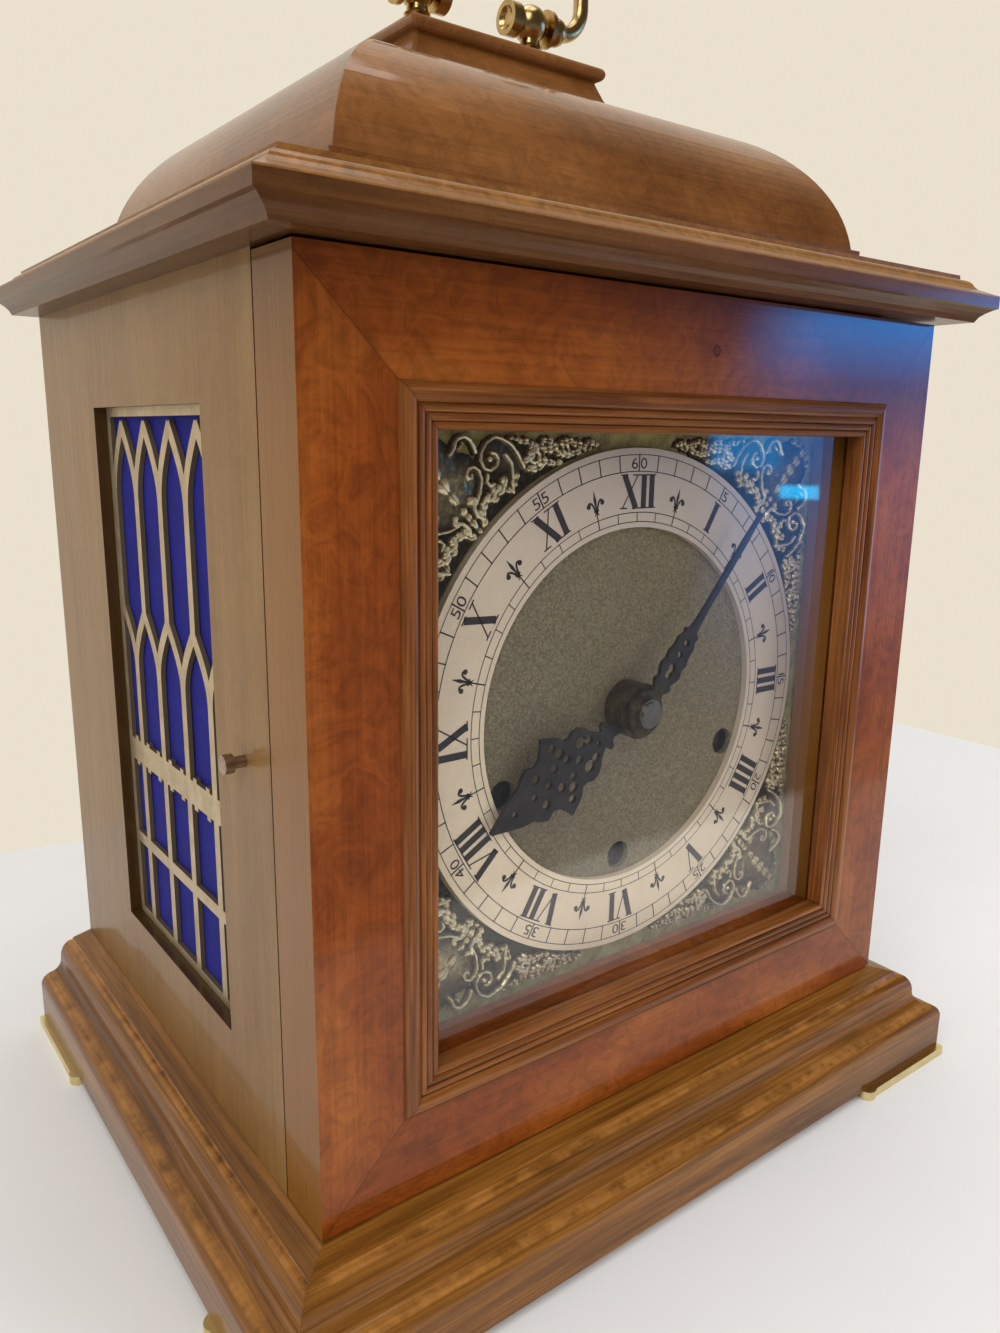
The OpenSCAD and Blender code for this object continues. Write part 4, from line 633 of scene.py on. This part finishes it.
def minute_numbers():
    """The minutes at every fifth line, a digit on each side of it. The 5 alone stands to its right."""
    digits = {d: digit_mesh(d) for d in "0123456"}
    foot = (TRACK_IN + TRACK_OUT) / 2 - DIGIT_HIGH / 2
    verts, faces = [], []
    for hour in range(1, 13):
        text = str(hour * 5)
        angle = math.radians(hour * 30)
        for i, digit in enumerate(text):
            points, shapes = digits[digit]
            left, right = min(x for x, z in points), max(x for x, z in points)
            shift = 0.6 - left
            if len(text) == 2:
                shift = 0.55 - left if i else -0.55 - right
            base = len(verts)
            verts += [on_ring(x + shift, z + foot, angle, INK_LIFT + 0.03) for x, z in points]
            faces += [tuple(base + k for k in shape) for shape in shapes]
    return verts, faces


marks = Marks()
draw_tracks(marks)
draw_hours(marks)
draw_fleurs(marks)
mesh_object("ring_marks", marks.points, marks.faces, ink, "case", "dark_steel")
mesh_object("minute_numbers", *minute_numbers(), ink, "case", "dark_steel")

# Corner castings in mm. The relief is drawn for half a corner, u along the top and v down, with u above v.
CASTINGS_LOW, CASTINGS_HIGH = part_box("spandrels")
SIGHT = (CASTINGS_HIGH.x - CASTINGS_LOW.x) / 2 / MM + 1.6
STEP = 0.36
REACH = 69.0
FLOOR = -0.45
THICK = 0.6

# Outlines of the ground, of the corner shell's lobe and of the large volute
GROUND = ((24, 8), (29, 3.4), (38, 3.0), (52, 2.2), (61, 3.4), (61, 9), (30, 30), (22, 22))
LOBE = ((3, 3), (9, 2.2), (13, 1.6), (16, 3.4), (19, 5.4), (23.2, 6.0), (25.6, 8.6), (26.8, 12.4),
        (26.4, 16.2), (25.2, 19.4), (22.6, 22.6), (12, 24))
VOLUTE = ((25.6, 6.6), (27.0, 3.0), (30.6, 1.0), (34.5, 1.8), (38.2, 4.8), (41.0, 9.0), (39.4, 13.5),
          (36.6, 17), (33.5, 15), (34.4, 11.5), (30.5, 11.0), (27.0, 10.0))

# Half width, height and points of each raised line
RIDGES = (
    (0.95, 2.35, ((16.2, 6.0), (17.3, 4.6), (17.6, 3.2), (18.6, 1.9), (20.5, 1.3), (22.4, 2.2), (23.6, 3.8),
                  (24.4, 5.4))),
    (0.7, 1.9, ((18.9, 4.6), (19.9, 3.7), (20.1, 3.0))),
    (0.62, 2.3, ((24.6, 19.2), (25.9, 16.2), (26.4, 12.6), (25.5, 10.2), (23.8, 9.2), (22.1, 9.7),
                 (21.5, 11.2), (22.1, 12.4), (23.1, 12.1), (23.2, 11.2))),
    (0.66, 2.4, ((40.8, 9.6), (38.6, 6.0), (35.9, 3.2), (32.9, 1.8), (30.4, 1.4), (27.6, 3.0), (26.1, 5.6),
                 (26.0, 7.8), (27.2, 9.7), (29.3, 10.2), (31.3, 9.0), (31.8, 7.2), (31.0, 5.8), (29.6, 5.5))),
    (0.75, 2.3, ((34.2, 6.0), (36.2, 8.0), (36.8, 10.6), (36.8, 13.4), (37.2, 16.2))),
    (0.8, 2.2, ((28.4, 11.4), (28.2, 13.2), (29.4, 14.4), (30.6, 13.8))),
    (0.9, 2.4, ((24.2, 17.6), (24.0, 20.2), (25.2, 22.2), (27.2, 22.9))),
)

# Foot, direction in degrees, length, half width, bend in degrees and lobes of each leaf
LEAVES = (
    (34.5, 11.5, 105, 9, 2.6, 35, 3), (31.5, 14.5, 120, 8, 2.2, 25, 3), (38.5, 10.5, 95, 5, 1.8, 30, 2),
    (28.5, 16.5, 100, 7, 2.0, 40, 3), (26.5, 20.0, 60, 6, 1.9, 40, 2), (33.5, 13.0, 60, 5, 1.4, -30, 2),
    (23.5, 24.0, 30, 5, 1.7, 40, 2), (21.6, 21.6, 45, 5, 1.8, 0, 2), (40.5, 8.0, -25, 7, 2.2, -30, 3),
    (41.5, 9.5, 15, 6.5, 2.0, -45, 3), (42.5, 5.0, -35, 6, 2.0, 45, 3), (45.0, 8.0, -10, 6.5, 2.2, 30, 3),
    (47.0, 4.5, 10, 6.5, 2.3, -50, 3), (46.5, 2.2, -5, 5, 1.6, 20, 2), (50.0, 8.2, 20, 5, 1.6, -60, 2),
    (52.0, 5.6, -5, 6, 2.1, 30, 3), (53.0, 2.6, 5, 6, 1.9, -30, 3), (57.0, 5.6, 5, 5, 1.7, -40, 2),
    (58.0, 3.0, 0, 6, 1.9, 20, 3), (63.0, 2.2, 5, 5.5, 1.5, 20, 3), (62.0, 4.6, 0, 4, 1.1, -20, 2),
    (11.0, 1.6, 170, 6, 1.4, -20, 2), (38.5, 2.6, -10, 6, 1.5, 30, 3), (35.0, 1.6, 0, 5, 1.0, 10, 2),
)


def spiral(u, v, outer, inner, start, turns, n=30):
    """Points of a scroll round u, v, from the outer radius in. start is in degrees, 0 along u."""
    points = []
    for i in range(n + 1):
        t = i / n
        radius, angle = outer + (inner - outer) * t ** 0.85, math.radians(start + 360 * turns * t)
        points.append((u + radius * math.cos(angle), v + radius * math.sin(angle)))
    return points


def bow(u, v, direction, length, bend, n=7):
    """Points of a leaf's curved axis. The angles are in degrees."""
    points = [(u, v)]
    for i in range(n):
        angle = math.radians(direction + bend * (i + 0.5) / n)
        u, v = u + length / n * math.cos(angle), v + length / n * math.sin(angle)
        points.append((u, v))
    return points


def nearest(U, V, path):
    """Distance to a polyline, and how far along it the nearest point lies (0 to 1)."""
    best = np.full(U.shape, 1e9)
    along = np.zeros(U.shape)
    parts = len(path) - 1
    for i in range(parts):
        (x0, y0), (x1, y1) = path[i], path[i + 1]
        dx, dy = x1 - x0, y1 - y0
        t = np.clip(((U - x0) * dx + (V - y0) * dy) / max(dx * dx + dy * dy, 1e-9), 0, 1)
        distance = np.hypot(U - x0 - t * dx, V - y0 - t * dy)
        near = distance < best
        best = np.where(near, distance, best)
        along = np.where(near, (i + t) / parts, along)
    return best, along


def bead(U, V, u, v, radius, height, base=0.0):
    """A round boss."""
    return height * (1 - (np.hypot(U - u, V - v) / radius) ** 2) + base


def ridge(U, V, path, width, height):
    """A rounded rib along a path."""
    return height * (1 - (nearest(U, V, path)[0] / width) ** 2)


def leaf(U, V, path, width, height, lobes):
    """A lobed leaf with a sunk midrib and raised veins."""
    d, t = nearest(U, V, path)
    lobe = np.abs(np.sin(math.pi * lobes * t + 0.35 * d))
    w = width * np.sin(math.pi * np.clip(0.10 + 0.86 * t, 0, 1)) ** 0.7 * (0.72 + 0.36 * lobe)
    rib = 1 - 0.35 * np.exp(-(d / 0.28) ** 2)
    return height * (1 - (d / np.maximum(w, 0.05)) ** 2) * (0.70 + 0.34 * lobe) * rib


def dome(U, V, outline, height, soft):
    """A smooth swelling inside a closed outline."""
    closed = outline + outline[:1]
    d = nearest(U, V, closed)[0]
    inside = np.zeros(U.shape, bool)
    for (x0, y0), (x1, y1) in zip(outline, closed[1:]):
        if y0 != y1:
            inside ^= ((y0 > V) != (y1 > V)) & (U < (x1 - x0) * (V - y0) / (y1 - y0) + x0)
    return np.where(inside, 0.5 + (height - 0.5) * (1 - np.exp(-(d / soft) ** 1.5)), -d * 3)


def shell_foot(U, V):
    """Rays round the foot of the corner shell."""
    r = np.hypot(U - 10, V - 10)
    rays = np.abs(np.sin(14 * np.arctan2(V - 10, U - 10)))
    here = (r > 12.0) & (V > 16.5) & (U > V - 8)
    return np.where(here, 1.0 + 1.1 * rays - np.abs(r - 15.2) * 0.5, FLOOR)


def corner_relief(U, V):
    """Height of the relief above the plate: the highest of all its forms at each place."""
    forms = [
        dome(U, V, GROUND, 0.5, 1.0),
        dome(U, V, LOBE, 1.45, 3.2),
        dome(U, V, VOLUTE, 1.0, 2.0),
        shell_foot(U, V),
        leaf(U, V, ((4, 4), (9, 9), (14, 14), (19.5, 19.5)), 3.4, 2.25, 5.0),
        bead(U, V, 29.1, 7.3, 1.25, 1.9, 0.4),
        bead(U, V, 43.4, 9.4, 1.2, 2.2),
        ridge(U, V, spiral(44.6, 6.2, 2.6, 0.5, 200, -1.2), 0.6, 2.3),
        ridge(U, V, spiral(55.2, 4.4, 2.0, 0.4, 160, -1.2), 0.5, 2.2),
    ]
    forms += [ridge(U, V, path, width, height) for width, height, path in RIDGES]
    for u, v, direction, length, width, bend, lobes in LEAVES:
        forms.append(leaf(U, V, bow(u, v, direction, length, bend), width, 2.3, lobes))
    return np.maximum.reduce([np.full(U.shape, FLOOR)] + forms)


def casting_heights(grid):
    """The whole corner's relief, roughened, and cut back where the chapter ring covers it."""
    U, V = np.meshgrid(grid, grid, indexing="ij")
    height = corner_relief(np.maximum(U, V), np.minimum(U, V))
    crust = [[noise.fractal(Vector((a * 0.8, b * 0.8, 1.0)), 0.6, 2.0, 3) for b in grid] for a in grid]
    rough = 0.22 * np.array(crust) * (1 - np.exp(-np.hypot(U - 14, V - 14) / 16))
    height = np.where(height > 0, height * (1 + rough), height)
    gap = np.hypot(SIGHT - U, SIGHT - V) - RING_R
    return np.clip(np.minimum(height, (gap - 0.4) * 3), FLOOR, RELIEF)


def corners_of(i, j):
    """The four grid points round a cell."""
    return [(i, j), (i + 1, j), (i + 1, j + 1), (i, j + 1)]


def corner_castings():
    """Four closed castings, the same relief turned to each corner."""
    grid = np.arange(0.4, REACH, STEP)
    height = casting_heights(grid)
    span = range(len(grid) - 1)
    cells = [(i, j) for i in span for j in span if height[i:i + 2, j:j + 2].max() > FLOOR + 0.02]
    edges, order = {}, {}
    for i, j in cells:
        ring = corners_of(i, j)
        for e in zip(ring, ring[1:] + ring[:1]):
            edges[e] = True
        for corner in ring:
            order.setdefault(corner, len(order))
    many = len(order)
    for index, (sx, sz) in enumerate(((-1, 1), (1, 1), (1, -1), (-1, -1))):
        front = []
        for i, j in order:
            x, z = sx * (SIGHT - grid[i]) * MM, CENTRE_Z + sz * (SIGHT - grid[j]) * MM
            front.append(Vector((x, PLATE_Y - height[i, j] * MM, z)))
        back = [Vector((v.x, PLATE_Y + THICK * MM, v.z)) for v in front]
        faces = []
        for i, j in cells:
            quad = [order[c] for c in corners_of(i, j)]
            faces.append(quad)
            faces.append([q + many for q in reversed(quad)])
        for a, b in edges:
            if (b, a) not in edges:
                faces.append([order[b], order[a], order[a] + many, order[b] + many])
        if sx * sz > 0:
            faces = [list(reversed(f)) for f in faces]
        name = "corner_casting_%d" % index
        casting = mesh_object(name, front + back, faces, cast_brass, "case", "cast_brass", smooth=True)
        if index == 0:
            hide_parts("spandrels")


corner_castings()

# Cloths behind the frets, held at their edges, with their gap, sag and ripple in mm
CLOTH_LOW, CLOTH_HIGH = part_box("fret_cloths")
CLOTH_DEEP = CLOTH_HIGH.y - CLOTH_LOW.y
CLOTH_TALL = CLOTH_HIGH.z - CLOTH_LOW.z
CLOTH_CELLS = (24, 44)
CLOTH_GAP = 0.15
CLOTH_SAG = 0.25
CLOTH_RIPPLE = 0.10


def fret_cloth(side, x, material):
    """A cloth that sags a little into the case."""
    outward = -1 if side == "left" else 1
    nx, nz = CLOTH_CELLS
    verts, faces = [], []
    for i in range(nx + 1):
        for k in range(nz + 1):
            u, w = i / nx, k / nz
            ripple = CLOTH_RIPPLE * noise.noise(Vector((u * 4, w * 7, 3.0)))
            sag = CLOTH_SAG * math.sin(math.pi * u) * math.sin(math.pi * w) + ripple
            inside = x - outward * (CLOTH_GAP + sag) * MM
            verts.append(Vector((inside, CLOTH_LOW.y + CLOTH_DEEP * u, CLOTH_LOW.z + CLOTH_TALL * w)))
    for i in range(nx):
        for k in range(nz):
            a = i * (nz + 1) + k
            faces.append((a, a + 1, a + nz + 2, a + nz + 1))
    sheet = mesh_object("cloth_" + side, verts, faces, material, "case", "fret_cloth", smooth=True)
    if side == "left":
        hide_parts("fret_cloths")


blue = cloth_material()
fret_cloth("left", CLOTH_LOW.x, blue)
fret_cloth("right", CLOTH_HIGH.x, blue)

# Stage, lights and camera, with a table top whose back and right edges show and a wall well behind it
TABLE = ((-3, -3, 0), (0.568, -3, 0), (0.570, FRONT + 0.266, 0), (-3, FRONT + 0.991, 0))
WALL = ((-9, 3, -4), (9, 3, -4), (9, 3, 8), (-9, 3, 8))
MIRRORED_TABLE_END = (FRONT / MM - 182.0, FRONT / MM - 198.0)
scene = bpy.context.scene


def plane(name, corners, material):
    """A flat piece of the stage."""
    data = bpy.data.meshes.new(name)
    data.from_pydata(corners, [], [(0, 1, 2, 3)])
    data.materials.append(material)
    obj = bpy.data.objects.new(name, data)
    scene.collection.objects.link(obj)
    return obj


def wall_material():
    """Pale wall that is seen at its own brightness, also in polish and through glass, and lights nothing."""
    s = Shade("wall", Roughness=0.9)
    tone = s.mix(s.noise(s.place(), 0.03, 3.0), (0.82, 0.735, 0.61), (0.84, 0.76, 0.635))
    s.set("Base Color", tone)
    ray = s.tree.nodes.new("ShaderNodeLightPath").outputs
    mirrored = s.math("MAXIMUM", ray["Is Glossy Ray"], ray["Is Transmission Ray"])
    plain = s.output_mix(s.math("MAXIMUM", ray["Is Camera Ray"], mirrored), "Emission")
    s.tree.links.new(tone, plain.inputs[0])
    plain.inputs[1].default_value = 1.0
    return s.material


def floor_material():
    """Pale cloth. For reflections it ends a little in front, so that polished wood and glass stay clear."""
    s = Shade("floor_cloth", Roughness=0.9)
    p = s.place()
    s.set("Base Color", s.mix(s.noise(p, 0.03, 3.0), (0.91, 0.90, 0.875), (0.94, 0.93, 0.91)))
    gone = s.span(s.split(p)[1], *MIRRORED_TABLE_END)
    s.output_mix(s.times(s.node("LightPath", "Is Glossy Ray"), gone), "BsdfTransparent")
    return s.material


plane("floor", TABLE, floor_material())
plane("backdrop", WALL, wall_material())


def mirrored_room(s, x, y, z):
    """What polish and glass mirror in a direction: a dim room, paler behind, with one bluish window."""
    seen = s.mix(s.span(y, -0.25, 0.3), (0.10, 0.075, 0.055), (0.60, 0.52, 0.37))
    ahead = s.math("LESS_THAN", y, 0.0)
    seen = s.mix(s.times(s.span(z, -0.05, -0.3), ahead), seen, (0.20, 0.20, 0.22))
    # The window stands to the right and is bluer and brighter towards its top
    tall = s.span(z, -0.30, 0.02)
    blue = s.mix(tall, (0.35, 0.50, 0.85), (0.15, 0.75, 2.2))
    blue = s.mix(s.span(z, 0.03, 0.09), blue, (0.10, 1.3, 5.0))
    blue = s.mix(s.span(z, 0.05, 0.10), blue, (0.3, 4.0, 12.0))
    across = s.span(s.math("ADD", x, s.times(z, -0.12)), 0.745, 0.785)
    window = s.times(s.times(across, s.span(y, -0.25, -0.4)), s.times(tall, s.span(z, 0.130, 0.108)))
    seen = s.mix(window, seen, blue)
    # A brighter patch and a small bright pane in it, and a paler strip beyond it
    patch = s.times(s.band(x, 0.770, 0.016, 0.008), s.band(z, 0.0, 0.022, 0.012))
    seen = s.mix(patch, seen, (0.15, 1.2, 3.0))
    pane = s.times(s.band(x, 0.801, 0.009, 0.003), s.band(z, -0.048, 0.004, 0.004))
    seen = s.mix(pane, seen, (0.2, 3.6, 7.0))
    strip = s.times(s.band(x, 0.93, 0.03, 0.02), s.times(s.band(z, -0.04, 0.12, 0.08), ahead))
    return s.mix(strip, seen, (1.3, 1.6, 2.8))


def world_nodes():
    """Plain light for the object, a pale room for the camera, and the mirrored room for reflections."""
    world = bpy.data.worlds.new("world")
    world.use_nodes = True
    s = Nodes(world.node_tree)
    s.tree.nodes.clear()
    ray = s.tree.nodes.new("ShaderNodeLightPath").outputs
    mirrored = mirrored_room(s, *s.split(s.node("TexCoord", 0)))
    lit = s.mix(ray["Is Glossy Ray"], (0.5225, 0.528, 0.55), mirrored)
    lit = s.mix(ray["Is Camera Ray"], lit, (0.84, 0.77, 0.67))
    out = s.tree.nodes.new("ShaderNodeOutputWorld")
    s.tree.links.new(s.node("Background", iColor=lit, iStrength=1.0), out.inputs[0])
    return world


def area(name, place, aim, size, power, colour=(1, 1, 1)):
    """A rectangular light that looks at a point."""
    light = bpy.data.lights.new(name, "AREA")
    light.shape = "RECTANGLE"
    light.size, light.size_y = size
    light.energy = power
    light.color = colour
    obj = bpy.data.objects.new(name, light)
    obj.location = place
    obj.rotation_euler = (Vector(aim) - Vector(place)).to_track_quat("-Z", "Y").to_euler()
    scene.collection.objects.link(obj)
    return obj


# The photograph's viewpoint. The eye is placed from the door's face and from the base board's top.
LOOK_RIGHT = Vector((0.7991, -0.6011, 0.0132))
LOOK_FORWARD = Vector((0.5883, 0.7771, -0.2234))
LOOK_UP = Vector((0.124, 0.1863, 0.9746))
EYE = Vector((-0.2174, FRONT - 0.2010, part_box("base_board")[1].z + 0.2034))
LENS = 36.24
SENSOR = 36


def photo_camera():
    """The camera of the photograph."""
    cam = bpy.data.cameras.new("camera")
    cam.sensor_fit = "HORIZONTAL"
    cam.sensor_width = SENSOR
    cam.lens = LENS
    obj = bpy.data.objects.new("camera", cam)
    turn = Matrix((LOOK_RIGHT, LOOK_UP, -LOOK_FORWARD)).transposed()
    obj.matrix_world = Matrix.Translation(EYE) @ turn.to_4x4()
    scene.collection.objects.link(obj)
    return obj


scene.world = world_nodes()
area("key", (-1.3, -0.9, 1.5), (0, 0, 0.2), (1.2, 1.2), 16, (1.0, 0.98, 0.95))
fill = area("fill", (1.2, -1.4, 0.9), (0, 0, 0.2), (0.5, 0.7), 8, (0.92, 0.95, 1.0))
fill.visible_glossy = False
area("top", (0.1, 0.1, 1.8), (0, 0, 0.3), (1.0, 1.0), 8)
scene.camera = photo_camera()
scene.view_settings.view_transform = "Standard"
